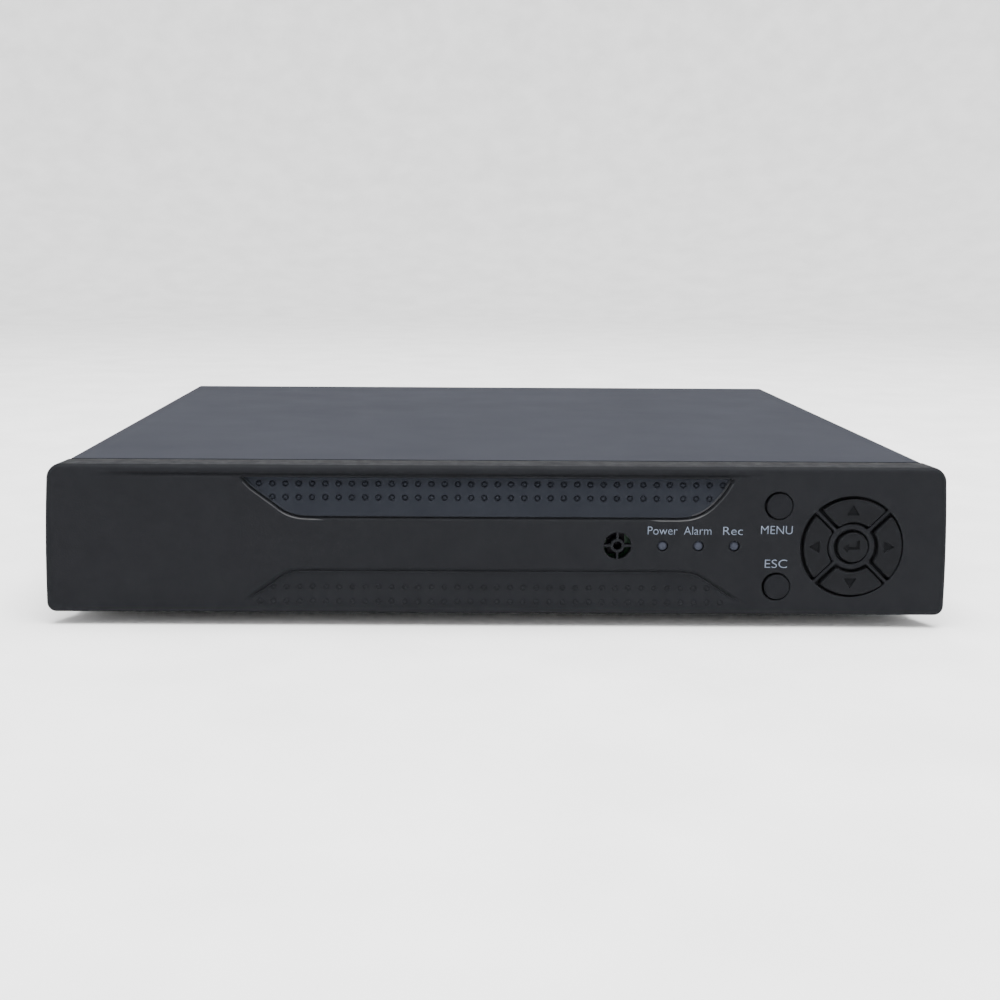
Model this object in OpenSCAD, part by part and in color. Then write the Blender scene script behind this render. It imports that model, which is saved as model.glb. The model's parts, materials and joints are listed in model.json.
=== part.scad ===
// Compact one-unit digital video recorder: a moulded front bezel with its keys, a folded steel
// case, the boards, the hard drive, the fan and the rear sockets, each as its own solid.
// Millimetres. +Z is up and the front looks along -Y. The origin is at the middle of the
// footprint, on the surface that the rubber feet stand on.

/* [Case] */
// Width of the steel cover
cover_w = 260; // [250:1:320]
// Length of the steel cover, from the seam behind the bezel to the back
cover_l = 210; // [205:1:300]
// Height of the bezel and the cover
case_h = 45; // [45:1:60]
// Thickness of the steel sheet
sheet_t = 0.8; // [0.6:0.1:1.2]
// Outside radius of the folds of the cover
fold_r = 1.4; // [1.2:0.1:2]
// Height of the low side walls of the tray
tray_side_h = 12; // [10:1:20]
// How far the rear lip of the cover hangs down
rear_lip_h = 6.4; // [5:0.2:7]
// Height of the rubber feet below the bezel
foot_h = 4; // [3:0.5:8]
// Diameter of the rubber feet
foot_d = 16; // [10:1:24]

/* [Bezel] */
// How far the bezel stands out past the cover on each side
bezel_overhang = 5; // [3:0.5:8]
// Depth of the bezel from its face to the seam
bezel_d = 11; // [11:0.5:16]
// Thickness of the bezel walls
bezel_wall = 2.4; // [2:0.1:2.6]
// Radius of the two upper corners
bezel_top_r = 5; // [3:0.5:7]
// Radius of the two lower corners
bezel_bottom_r = 2.8; // [2:0.1:4]
// How far the bowed sides lean in at the top
bezel_lean = 1.5; // [0.5:0.1:2.4]
// How far each side of the bezel draws in between its face and the seam
bezel_taper = 4; // [0:0.5:4.5]
// Radius of the roll along the top front edge
brow_r = 1.2; // [0.8:0.1:3]
// Gap between the bezel and the cover
seam_gap = 0.5; // [0.3:0.1:1]

/* [Dotted strips] */
// Length of the upper strip along its long edge
strip_w = 145; // [120:1:150]
// Height of the upper strip
strip_h = 11.5; // [8:0.5:13]
// Distance from the top of the bezel to the upper strip
strip_from_top = 3.5; // [3:0.1:5]
// Height of the lower strip
low_strip_h = 9.6; // [8:0.1:11]
// Depth of the strips along their deep edge
strip_depth = 1.6; // [0.6:0.1:1.7]
// Width of the groove that outlines a strip
groove_w = 0.9; // [0.6:0.1:1.2]
// Depth of the groove that outlines a strip
groove_depth = 0.5; // [0.3:0.1:0.8]

/* [Keys] */
// Diameter of the MENU and ESC keys
round_key_d = 7.55; // [6:0.05:9]
// Distance from the right edge of the bezel to the round keys
round_key_from_edge = 51.1; // [49:0.1:56]
// Distance from the middle height up or down to a round key
round_key_offset = 12.3; // [11:0.1:13]
// Radius of the opening for the four arrow keys
pad_r = 15.4; // [14:0.1:15.6]
// Distance from the right edge of the bezel to the middle of the arrow keys
pad_from_edge = 28.9; // [28:0.1:34]
// Radius of the enter key
enter_r = 4.75; // [4:0.05:5]
// Outside radius of the fixed ring around the enter key
ring_r = 6.9; // [6.6:0.1:7.4]
// Width of the four spokes that hold the ring
spoke_w = 1.4; // [1:0.1:2]
// Gap around each key
key_gap = 0.5; // [0.3:0.05:0.6]
// How far a key travels
key_travel = 0.3; // [0.2:0.05:0.35]

/* [Lights and receiver] */
// Diameter of the indicator lights
light_d = 2.9; // [2:0.1:3.5]
// Distance between the indicator lights
light_pitch = 10.7; // [8:0.1:12]
// Distance from the right edge of the bezel to the nearest light
light_from_edge = 64; // [62:0.1:68]
// Distance from the right edge of the bezel to the remote receiver
receiver_from_edge = 98.9; // [96:0.1:104]
// Radius of the outer slots in the guard over the receiver
guard_r = 4.1; // [3:0.1:4.5]

/* [Boards] */
// Thickness of the circuit boards
board_t = 1.6; // [1:0.1:2]
// Length of the main board, front to back
board_l = 96; // [90:1:100]
// Height of the standoffs under the main board
standoff_h = 6; // [4:0.5:8]
// Depth of the space between the bezel face and the key board
key_board_y = 7.6; // [7.4:0.1:8]

/* [Hard drive] */
// Length of the drive, which lies across the case
drive_l = 147; // [100:0.1:147]
// Width of the drive, front to back
drive_w = 101.6; // [69.9:0.1:101.6]
// Height of the drive
drive_h = 26.1; // [9.5:0.1:32]

/* [Fan] */
// Side of the square fan
fan_size = 40; // [30:1:40]
// Thickness of the fan
fan_t = 10; // [8:1:15]

/* [Rear sockets] */
// Distance between neighbouring video sockets
video_pitch = 16; // [14:0.5:16]
// Number of video sockets in each of the two rows
video_columns = 4; // [2:1:4]
// How far the video sockets stand out behind the rear wall
video_out = 11.4; // [10:0.1:14]
// Radius of the barrel of a video socket
video_r = 4.83; // [4.7:0.01:4.9]
// Distance from the tip of a video socket to the middle of its bayonet ears
video_ear_back = 5.5; // [4:0.1:7]
// Radius of the shell of an audio socket
audio_r = 4.15; // [4:0.05:4.3]
// How far the audio sockets stand out behind the rear wall
audio_out = 9; // [7:0.5:11]
// Radius of the bore in the display socket's jack screws
jack_bore_r = 1.42; // [1.2:0.01:1.6]
// Radius of the mouth of the power inlet
power_mouth_r = 3; // [2.8:0.1:3.3]

/* [Clearances] */
// Gap between a connector and the edge of its hole in the rear wall
hole_gap = 0.3; // [0.2:0.05:0.6]
// Radial gap around a screw in a hole
screw_gap = 0.1; // [0.05:0.05:0.2]
// Gap between folded sheets that lie side by side
sheet_gap = 0.2; // [0.1:0.05:0.4]

/* [Hidden] */
$fn = 64;
eps = 0.01;
sharp_r = 0.01;

// The case is drawn from the lower front edge of the bezel: x from the middle, y from the face
// towards the back, z up from the bottom of the bezel.
bezel_w = cover_w + 2 * bezel_overhang;
cover_y = bezel_d + seam_gap;
cover_back = cover_y + cover_l;
base_z = 0.6;
base_top = base_z + sheet_t;
tray_w = cover_w - 2 * sheet_t - 2 * sheet_gap;
rear_wall_y = cover_back - 2 * sheet_t - 0.1;
panel_y = rear_wall_y + sheet_t;
front_wall_y = bezel_d;
tray_top = case_h - sheet_t;
overall_l = panel_y + video_out;

// Places on the front
mid_z = 21.1 + (case_h - 45) / 2;
pad_x = bezel_w / 2 - pad_from_edge;
round_key_x = bezel_w / 2 - round_key_from_edge;
light_x = [for (i = [2:-1:0]) bezel_w / 2 - light_from_edge - i * light_pitch];
receiver_x = bezel_w / 2 - receiver_from_edge;
strip_top = case_h - strip_from_top;
guard_centre_r = 1.3;
guard_ring_r = 2.05;
guard_spoke_w = 0.65;
strip_x = -1.5;
brow_z = strip_top + 0.2;
brow_line = [-bezel_w / 2 + 35, bezel_w / 2 - 48];
hook_x = tray_w / 2 - 34;
hook_w = 8;
hook_t = 1.4;
low_strip_z = 2.9;
strip_slant = 17;
sill_r = 1.2;
taper_from = 1.6;
widest_z = 5;
rim_d = 1.6;
rim_w = bezel_overhang + 6;
rim_low = 4;
rim_high = case_h - rim_low;

// Key stack, from the face to the key board
flange_y = bezel_wall + 0.1;
flange_t = 0.8;
flange_out = 0.55;
switch_w = 6;
switch_h = 3.4;
switch_y = key_board_y - switch_h;
stem_y = flange_y + flange_t;
plunger_y = switch_y - 0.5;
plunger_r = 1.72;
plunger_l = 1.05;
key_reach = 11;
key_board_right = bezel_w / 2 - rim_w - 1;
key_board_left = receiver_x - 8;
key_board_low = rim_low + 0.6;
key_board_high = rim_high - 0.6;
key_screw_xz = [for (x = [key_board_left + 4, key_board_right - 3.6])
                for (z = [key_board_low + 3.2, key_board_high - 3.2]) [x, z]];
key_header_x = receiver_x + 30;

// Places inside the case
board_z = base_top + standoff_h;
board_top = board_z + board_t;
board_back = rear_wall_y - 1.4;
board_front = board_back - board_l;
drive_x = -tray_w / 2 + 4;
drive_y = front_wall_y + sheet_t + 3;
drive_z = base_top + 2;
drive_screw_x = [for (d = [41.28, 85.73]) drive_x + drive_l - d];
drive_screw_y = [drive_y + 3.2, drive_y + drive_w - 3.2];
fan_x = -tray_w / 2 + fan_size / 2 + 2;
fan_z = base_top + fan_size / 2 + 0.8;
fan_y = rear_wall_y - fan_t;
fan_hole = fan_size * 0.4;
board_left = fan_x + fan_size / 2 + 3;
board_right = tray_w / 2 - 17;
foot_x = cover_w / 2 - 25;
foot_y = [cover_y + 24, cover_back - 32];
side_screw_y = [cover_y + 38, cover_back - 40];
side_screw_z = base_z + 6.4;
side_screw_l = 4;
screw_r = 1.5;
head_r = 2.8;
head_t = 1.6;
drive_screw_r = 1.7;
lip_left = board_left - 1;
lip_screw_ends = [lip_left + 7, cover_w / 2 - 12];
lip_screw_x = [lip_screw_ends[0], (lip_screw_ends[0] + lip_screw_ends[1]) / 2, lip_screw_ends[1]];
lip_screw_z = case_h - rear_lip_h / 2 - 0.4;
data_x = drive_x + drive_l + 20;
power_lead_x = data_x + 10;
standoff_xy = [for (x = [board_left + 8, data_x - 48, board_right - 4])
               for (y = [board_front + 5, board_back - 24]) [x, y]];

// Places of the rear sockets, counted from the right-hand video socket
video_x = [for (i = [0:video_columns - 1]) board_right - 12 - i * video_pitch];
video_z = [board_top + 8, board_top + 23.5];
video_block = [video_x[video_columns - 1] - 8.2, video_x[0] + 8.2];
audio_x = video_x[video_columns - 1] - 20;
audio_z = [board_top + 6.8, board_top + 21];
vga_x = audio_x - 27;
vga_z = board_top + 6.7;
vga_pitch = 25;
vga_flange_t = 0.8;
hdmi_x = vga_x - 29;
hdmi_z = board_top + 3;
lan_x = hdmi_x - 18;
lan_z = board_top + 6.7;
usb_x = lan_x - 18.5;
usb_z = [board_top + 3.9, board_top + 11.7];
usb_mid = (usb_z[0] + usb_z[1]) / 2;
usb_box = [14.4, 15.6];
lan_box = [16, 13.4];
power_box = [9, 11.5];
power_x = usb_x - 15.5;
power_z = board_top + 6;
socket_front = panel_y + 0.3;

// ---------------------------------------------------------------- drawing helpers

// Puts the case on its feet, with the origin in the middle of the footprint
module in_frame() {
    translate([0, -overall_l / 2, foot_h]) children();
}

// Extrudes an outline drawn in x and z from y0 towards the back
module front_to_back(y0, l) {
    translate([0, y0 + l, 0]) rotate([90, 0, 0]) linear_extrude(l) children();
}

// Extrudes an outline drawn in y and z from x0 to the right
module left_to_right(x0, l) {
    translate([x0, 0, 0]) rotate([90, 0, 90]) linear_extrude(l) children();
}

// A straight round bar along y
module bar_y(r, y0, l) {
    translate([0, y0, 0]) rotate([-90, 0, 0]) cylinder(r = r, h = l);
}

// A block between two corners
module block(low, high) {
    translate(low) cube(high - low);
}

// A rectangle between two corners with its own radius at each corner
module rounded_rect(low, high, bottom_r, top_r) {
    translate([low[0], low[1] + bottom_r])
        square([high[0] - low[0], high[1] - low[1] - bottom_r - top_r]);
    translate([low[0] + bottom_r, low[1]])
        square([high[0] - low[0] - 2 * bottom_r, bottom_r + eps]);
    translate([low[0] + top_r, high[1] - top_r - eps])
        square([high[0] - low[0] - 2 * top_r, top_r + eps]);
    for (x = [low[0] + bottom_r, high[0] - bottom_r]) translate([x, low[1] + bottom_r]) circle(bottom_r);
    for (x = [low[0] + top_r, high[0] - top_r]) translate([x, high[1] - top_r]) circle(top_r);
}

// A slot with round ends, standing upright on its middle
module slot(w, l) {
    square([w, l - w], center = true);
    for (s = [-1, 1]) translate([0, s * (l - w) / 2]) circle(w / 2, $fn = 24);
}

// A pan-head screw: its head rests on z = 0 and its shank points down
module screw(shank_r, shank_l, head_r, head_t) {
    translate([0, 0, -shank_l]) cylinder(r = shank_r, h = shank_l, $fn = 32);
    difference() {
        cylinder(r = head_r, h = head_t, $fn = 32);
        for (a = [0, 90]) rotate(a)
            translate([-head_r * 0.55, -head_r * 0.12, head_t * 0.45])
                cube([head_r * 1.1, head_r * 0.24, head_t]);
    }
}

// The points of a path with its corners rounded to a radius
function unit(v) = v / norm(v);
function corner_arc(a, b, c, r, n) =
    let (u = unit(a - b), v = unit(c - b), half = acos(u * v) / 2, mid = unit(u + v),
         centre = b + mid * r / sin(half), start = b + u * r / tan(half),
         spin = (u[0] * v[1] - u[1] * v[0] > 0) ? -1 : 1, sweep = spin * (180 - 2 * half),
         from = start - centre)
    [for (i = [0:n]) let (t = sweep * i / n)
        centre + [from[0] * cos(t) - from[1] * sin(t), from[0] * sin(t) + from[1] * cos(t)]];
function round_path(p, r, n = 6) = concat(
    [p[0]],
    [for (i = [1:len(p) - 2]) each corner_arc(p[i - 1], p[i], p[i + 1], r, n)],
    [p[len(p) - 1]]);
function side_of(p, i) =
    let (a = p[max(i - 1, 0)], b = p[min(i + 1, len(p) - 1)], d = unit(b - a)) [-d[1], d[0]];

// A band of even thickness along a flat path
module band(p, t) {
    polygon(concat(
        [for (i = [0:len(p) - 1]) p[i] + side_of(p, i) * t / 2],
        [for (i = [len(p) - 1:-1:0]) p[i] - side_of(p, i) * t / 2]));
}

// ---------------------------------------------------------------- front bezel

// The outline of the bezel, seen from the front, moved in by a wall
module bezel_outline(inset) {
    intersection() {
        rounded_rect([-bezel_w / 2 + inset, inset], [bezel_w / 2 - inset, case_h - inset],
                     bezel_bottom_r - min(inset, 1.8), bezel_top_r - inset);
        bowed_side(1, inset);
        bowed_side(-1, inset);
    }
}

// A large disc whose edge is upright near the foot of one side and leans in towards the top
module bowed_side(side, inset) {
    side_r = (pow(case_h - widest_z, 2) + pow(bezel_lean, 2)) / (2 * bezel_lean);
    translate([side * (bezel_w / 2 - side_r), widest_z]) circle(side_r - inset, $fn = 360);
}

// The plan of the bezel: full width at its face, drawn in towards the seam
module bezel_plan(inset) {
    half = bezel_w / 2 - inset;
    translate([0, 0, -1]) linear_extrude(case_h + 2)
        polygon([[-half, -1], [half, -1], [half, taper_from], [half - bezel_taper, bezel_d],
                 [half - bezel_taper, bezel_d + 1], [-half + bezel_taper, bezel_d + 1],
                 [-half + bezel_taper, bezel_d], [-half, taper_from]]);
}

// The side profile of the bezel, with its rolled top edge
module bezel_profile() {
    difference() {
        square([bezel_d, case_h]);
        translate([-eps, case_h - brow_r]) difference() {
            square([brow_r + eps, brow_r + eps]);
            translate([brow_r + eps, 0]) circle(brow_r);
        }
        difference() {
            translate([-eps, -eps]) square([sill_r + eps, sill_r + eps]);
            translate([sill_r, sill_r]) circle(sill_r, $fn = 48);
        }
    }
}

// The outline of a dotted strip: its long edge is on z = 0 and it narrows upwards
module strip_outline(long_w, h, slant) {
    polygon([[-long_w / 2, 0], [long_w / 2, 0], [long_w / 2 - slant * 0.66, h * 0.72],
             [long_w / 2 - slant, h], [-long_w / 2 + slant, h], [-long_w / 2 + slant * 0.66, h * 0.72]]);
}

// Cuts one strip into the face: a floor that leans in towards the long edge, and its groove
module strip_cut(h, slant) {
    difference() {
        front_to_back(-1, 1 + strip_depth) strip_outline(strip_w, h, slant);
        left_to_right(-strip_w / 2 - 1, strip_w + 2)
            polygon([[strip_depth, -eps], [strip_depth + 1, -eps], [strip_depth + 1, h + 1], [0, h]]);
    }
    front_to_back(-1, 1 + groove_depth) difference() {
        strip_outline(strip_w + 2 * groove_w, h + groove_w, slant);
        strip_outline(strip_w, h, slant);
    }
}

// The opening for one arrow key, which points up
module pad_sector(inner, outer, half_gap) {
    difference() {
        intersection() {
            circle(outer, $fn = 96);
            rotate(45) translate([half_gap, half_gap]) square(outer * 1.5);
        }
        circle(inner);
    }
}

// Round openings in the guard over the receiver
module guard_openings() {
    circle(guard_centre_r, $fn = 32);
    difference() {
        circle(guard_r);
        circle(guard_ring_r, $fn = 32);
        for (a = [0, 90]) rotate(a) square([3 * guard_r, guard_spoke_w], center = true);
    }
}

// A snap hook that reaches back through the front wall of the tray
module bezel_hook(x, z, up) {
    reach = front_wall_y + sheet_t + 2;
    translate([x - hook_w / 2, bezel_d - rim_d, z]) cube([hook_w, reach - bezel_d + rim_d, hook_t]);
    left_to_right(x - hook_w / 2, hook_w)
        translate([front_wall_y + sheet_t + 0.1, up > 0 ? z + hook_t - eps : z + eps])
        polygon([[0, 0], [0, up * 0.8], [0.6, up * 0.8], [1.9, 0]]);
}

module front_bezel() {
    color([0.16, 0.16, 0.18]) {
        difference() {
            intersection() {
                front_to_back(0, bezel_d) bezel_outline(0);
                left_to_right(-bezel_w / 2 - 1, bezel_w + 2) bezel_profile();
                bezel_plan(0);
            }
            intersection() {
                front_to_back(bezel_wall, bezel_d - bezel_wall - rim_d) bezel_outline(bezel_wall);
                bezel_plan(bezel_wall);
            }
            block([-bezel_w / 2 + rim_w, bezel_wall, rim_low], [bezel_w / 2 - rim_w, bezel_d + 1, rim_high]);
            translate([strip_x, 0, strip_top]) mirror([0, 0, 1]) strip_cut(strip_h, strip_slant);
            translate([strip_x, 0, low_strip_z]) strip_cut(low_strip_h, strip_slant);
            front_to_back(-1, 1 + groove_depth) translate([brow_line[0], brow_z])
                square([brow_line[1] - brow_line[0], groove_w * 0.6]);
            for (z = [-1, 1]) front_to_back(-1, bezel_wall + 2)
                translate([round_key_x, mid_z + z * round_key_offset])
                    circle(round_key_d / 2 + key_gap);
            front_to_back(-1, bezel_wall + 2) translate([pad_x, mid_z]) {
                circle(enter_r + key_gap);
                for (a = [0:90:270]) rotate(a) pad_sector(ring_r, pad_r, spoke_w / 2);
            }
            for (x = light_x) translate([x, 0, mid_z]) bar_y(light_d / 2 + 0.15, -1, bezel_wall + 2);
            front_to_back(-1, bezel_wall + 2) translate([receiver_x, mid_z]) guard_openings();
        }
        for (p = key_screw_xz) translate([p[0], 0, p[1]]) difference() {
            bar_y(2.6, bezel_wall - eps, key_board_y - bezel_wall + eps);
            bar_y(1 + screw_gap, bezel_wall + 1, key_board_y);
        }
        for (x = [-hook_x, hook_x]) {
            bezel_hook(x, base_top + 0.5, 1);
            bezel_hook(x, tray_top - 2.7, -1);
        }
    }
}

// ---------------------------------------------------------------- keys

// A triangle pointing up, sunk into a key
module arrow_mark() {
    polygon([[-1.9, -1.4], [1.9, -1.4], [0, 1.8]]);
}

// The bent return arrow, sunk into the enter key
module return_mark() {
    polygon([[-2.6, -0.4], [-1, 1], [-1, 0.1], [1.4, 0.1], [1.4, 1.9], [2.4, 1.9], [2.4, -0.9],
             [-1, -0.9], [-1, -1.8]]);
}

module round_key(z) {
    color([0.15, 0.15, 0.17]) translate([round_key_x, 0, z]) {
        bar_y(round_key_d / 2, 0, flange_y + eps);
        bar_y(round_key_d / 2 + key_gap + flange_out, flange_y, flange_t);
        bar_y(1.6, stem_y - eps, plunger_y - stem_y + eps);
    }
}
module menu_button() { round_key(mid_z + round_key_offset); }
module esc_button() { round_key(mid_z - round_key_offset); }

// One arrow key, turned to its place; the sunk triangle points away from the middle
module arrow_key(a) {
    color([0.15, 0.15, 0.17]) translate([pad_x, 0, mid_z]) rotate([0, -a, 0]) {
        difference() {
            front_to_back(0, flange_y + eps)
                pad_sector(ring_r + key_gap, pad_r - key_gap, spoke_w / 2 + key_gap);
            front_to_back(-1, 1.25) translate([0, key_reach]) arrow_mark();
        }
        front_to_back(flange_y, flange_t)
            pad_sector(ring_r - flange_out, pad_r + flange_out, spoke_w / 2 - 0.4);
        translate([0, 0, key_reach]) bar_y(1.6, stem_y - eps, plunger_y - stem_y + eps);
    }
}
module up_key() { arrow_key(0); }
module left_key() { arrow_key(90); }
module down_key() { arrow_key(180); }
module right_key() { arrow_key(270); }

module enter_key() {
    color([0.15, 0.15, 0.17]) translate([pad_x, 0, mid_z]) {
        difference() {
            bar_y(enter_r, 0, flange_y + eps);
            front_to_back(-1, 1.25) return_mark();
        }
        bar_y(enter_r + key_gap + flange_out, flange_y, flange_t);
        bar_y(1.6, stem_y - eps, plunger_y - stem_y + eps);
    }
}

// Where the seven switches sit behind the keys
menu_at = [round_key_x, mid_z + round_key_offset];
esc_at = [round_key_x, mid_z - round_key_offset];
up_at = [pad_x, mid_z + key_reach];
down_at = [pad_x, mid_z - key_reach];
left_at = [pad_x - key_reach, mid_z];
right_at = [pad_x + key_reach, mid_z];
enter_at = [pad_x, mid_z];
switch_xz = [menu_at, esc_at, up_at, down_at, left_at, right_at, enter_at];

module plunger(at) {
    color([0.05, 0.05, 0.05]) translate([at[0], 0, at[1]]) bar_y(plunger_r, plunger_y, plunger_l);
}
module menu_plunger() { plunger(menu_at); }
module esc_plunger() { plunger(esc_at); }
module up_plunger() { plunger(up_at); }
module down_plunger() { plunger(down_at); }
module left_plunger() { plunger(left_at); }
module right_plunger() { plunger(right_at); }
module enter_plunger() { plunger(enter_at); }

module key_switches() {
    color([0.75, 0.75, 0.76]) for (p = switch_xz) translate([p[0], 0, p[1]]) difference() {
        translate([-switch_w / 2, switch_y, -switch_w / 2]) cube([switch_w, switch_h, switch_w]);
        bar_y(plunger_r + 0.08, switch_y - 1, 1 + plunger_l + key_travel + 0.2);
    }
}

// ---------------------------------------------------------------- key board

module indicator_lights() {
    color([0.55, 0.62, 0.72]) for (x = light_x) translate([x, 0, mid_z]) {
        translate([0, light_d / 2, 0]) sphere(light_d / 2);
        bar_y(light_d / 2, light_d / 2, 3);
        bar_y(light_d / 2 + 0.4, light_d / 2 + 3 - eps, 1);
        for (s = [-1, 1]) translate([s * 0.8, 0, 0])
            bar_y(0.25, light_d / 2 + 3.9, key_board_y - light_d / 2 - 3.9, $fn = 24);
    }
}

module remote_receiver() {
    color([0.08, 0.06, 0.08]) translate([receiver_x, 0, mid_z]) {
        block([-2.5, bezel_wall + 1.9, -3.2], [2.5, key_board_y - 0.8, 3.2]);
        intersection() {
            translate([0, bezel_wall + 2.7, 0]) sphere(2.3);
            block([-3, bezel_wall, -3], [3, bezel_wall + 2, 3]);
        }
        for (s = [-1:1]) block([s * 1.6 - 0.25, key_board_y - 1, -3], [s * 1.6 + 0.25, key_board_y, -2.5]);
    }
}

module key_board() {
    color([0.1, 0.35, 0.18]) difference() {
        block([key_board_left, key_board_y, key_board_low],
              [key_board_right, key_board_y + board_t, key_board_high]);
        for (p = key_screw_xz) translate([p[0], 0, p[1]]) bar_y(1.4, key_board_y - 1, board_t + 2);
    }
}

module key_board_screws() {
    color("silver") for (p = key_screw_xz) translate([p[0], key_board_y + board_t, p[1]])
        rotate([-90, 0, 0]) screw(1, 5, 2.2, 1.4);
}

// The flat lead from the key board to the main board, with its two plugs and the header
key_lead_z = mid_z;
key_plug_y = key_board_y + board_t;
key_path = round_path([[key_plug_y + 8, key_lead_z], [key_plug_y + 20, key_lead_z],
    [key_plug_y + 34, board_top + 3], [board_front - 4, board_top + 3]], 5);

module key_lead() {
    color([0.85, 0.85, 0.82]) translate([key_header_x, 0, 0]) {
        block([-7, key_plug_y, key_lead_z - 3], [7, key_plug_y + 8, key_lead_z + 3]);
        left_to_right(-5, 10) band(key_path, 1.1);
        block([-7, board_front - 4, board_top + 0.6], [7, board_front + 3, board_top + 5.6]);
    }
}

// ---------------------------------------------------------------- sheet-metal case

module vent_slots(y0, count) {
    for (i = [0:count - 1]) translate([y0 + i * 5.5, case_h * 0.56]) slot(2.2, case_h * 0.38);
}

module cover_wall(inset) {
    rounded_rect([-cover_w / 2 + inset, base_z - (inset > 0 ? 5 : 0)],
                 [cover_w / 2 - inset, case_h - inset], sharp_r, fold_r - min(inset, fold_r - 0.3));
}

module top_cover() {
    color([0.27, 0.28, 0.31]) difference() {
        union() {
            front_to_back(cover_y, cover_l) difference() {
                cover_wall(0);
                cover_wall(sheet_t);
            }
            difference() {
                block([lip_left, cover_back - sheet_t, case_h - rear_lip_h],
                      [cover_w / 2 - sheet_t / 2, cover_back, case_h - sheet_t / 2]);
                each_video_socket() bar_y(collar_r + 0.3, rear_wall_y - 1, 10);
            }
        }
        for (y = side_screw_y) translate([-cover_w, y, side_screw_z]) rotate([0, 90, 0])
            cylinder(r = screw_r + screw_gap, h = 2 * cover_w);
        for (x = lip_screw_x) translate([x, 0, lip_screw_z])
            bar_y(screw_r + screw_gap, cover_back - 5, 10);
        left_to_right(-cover_w, 2 * cover_w) {
            vent_slots(cover_y + 58, 12);
            vent_slots(cover_back - 34, 4);
        }
    }
}

// Holes in the rear wall, seen from the front
module rear_holes() {
    for (x = video_x, z = video_z) translate([x, z]) circle(collar_r + 0.4);
    for (z = audio_z) translate([audio_x, z]) circle(audio_r + 1 + hole_gap);
    translate([vga_x, vga_z]) {
        d_outline(hole_gap);
        for (s = [-1, 1]) translate([s * vga_pitch / 2, 0]) circle(screw_r + screw_gap);
    }
    translate([hdmi_x, hdmi_z]) hdmi_outline(hole_gap);
    translate([lan_x, lan_z]) square(lan_box + 2 * hole_gap * [1, 1], center = true);
    translate([usb_x, usb_mid]) square(usb_box + 2 * hole_gap * [1, 1], center = true);
    translate([power_x, power_z - 0.25]) square(power_box + 2 * hole_gap * [1, 1], center = true);
    for (x = lip_screw_x) translate([x, lip_screw_z]) circle(screw_r + screw_gap);
    translate([fan_x, fan_z]) {
        difference() {
            for (r = [4.5:3.4:fan_size / 2 - 2]) difference() {
                circle(r + 2.2);
                circle(r);
            }
            for (a = [45, 135]) rotate(a) square([2 * fan_size, 2], center = true);
        }
        for (x = [-1, 1], z = [-1, 1]) translate([x, z] * fan_hole) circle(screw_r + screw_gap);
    }
}

module chassis_tray() {
    color([0.33, 0.34, 0.36]) {
        difference() {
            union() {
                block([-tray_w / 2, front_wall_y, base_z], [tray_w / 2, panel_y, base_top]);
                for (s = [-1, 1]) translate([s * (tray_w - sheet_t) / 2, 0, 0])
                    block([-sheet_t / 2, front_wall_y, base_z], [sheet_t / 2, panel_y, base_z + tray_side_h]);
                for (y = [front_wall_y, rear_wall_y]) front_to_back(y, sheet_t)
                    rounded_rect([-tray_w / 2, base_z], [tray_w / 2, tray_top], sharp_r, fold_r);
                for (x = drive_screw_x, y = drive_screw_y)
                    translate([x, y, base_top - eps]) cylinder(r = 5, h = drive_z - base_top + eps);
            }
            for (x = drive_screw_x, y = drive_screw_y)
                translate([x, y, 0]) cylinder(r = drive_screw_r + screw_gap, h = drive_z + 1);
            for (y = side_screw_y) translate([-cover_w, y, side_screw_z]) rotate([0, 90, 0])
                cylinder(r = screw_r + screw_gap, h = 2 * cover_w);
            front_to_back(rear_wall_y - 1, sheet_t + 2) rear_holes();
            block([key_header_x - 9, front_wall_y - 1, key_lead_z - 5],
                  [key_header_x + 9, front_wall_y + 2, key_lead_z + 5]);
            for (x = [-hook_x, hook_x], z = [base_top + 0.4, tray_top - 3.6])
                block([x - hook_w / 2 - hole_gap, front_wall_y - 1, z],
                      [x + hook_w / 2 + hole_gap, front_wall_y + sheet_t + 1, z + hook_t + 1]);
        }
    }
}

module cover_screws() {
    color("silver") {
        for (y = side_screw_y, s = [-1, 1]) translate([s * cover_w / 2, y, side_screw_z])
            rotate([0, s * 90, 0]) screw(screw_r, side_screw_l, head_r, head_t);
        for (x = lip_screw_x) translate([x, cover_back, lip_screw_z])
            rotate([-90, 0, 0]) screw(screw_r, 6, head_r, head_t);
    }
}

module rubber_feet() {
    color([0.1, 0.1, 0.1]) for (s = [-1, 1], y = foot_y) translate([s * foot_x, y, -foot_h]) {
        rotate_extrude() polygon([[0, 0], [foot_d / 2 - 1.4, 0], [foot_d / 2 - 0.6, 0.8],
            [foot_d / 2, foot_h + base_z], [0, foot_h + base_z]]);
    }
}

// ---------------------------------------------------------------- main board

module main_board() {
    color([0.08, 0.3, 0.16]) difference() {
        block([board_left, board_front, board_z], [board_right, board_back, board_top]);
        for (p = standoff_xy) translate([p[0], p[1], board_z - 1])
            cylinder(r = screw_r + screw_gap, h = board_t + 2);
    }
}

module board_standoffs() {
    color("goldenrod") for (p = standoff_xy) translate([p[0], p[1], base_top]) difference() {
        cylinder(r = 3, h = standoff_h, $fn = 6);
        translate([0, 0, 1]) cylinder(r = screw_r + screw_gap, h = standoff_h);
    }
}

module board_screws() {
    color("silver") for (p = standoff_xy) translate([p[0], p[1], board_top])
        screw(screw_r, board_t + standoff_h - 2, head_r, head_t);
}

cpu_at = [vga_x + 9, board_front + 42];
cpu_w = 27;
sink_w = 38;
fin_count = 9;
module processor() {
    color([0.1, 0.1, 0.1]) translate([cpu_at[0] - cpu_w / 2, cpu_at[1] - cpu_w / 2, board_top])
        cube([cpu_w, cpu_w, 2]);
}

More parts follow.
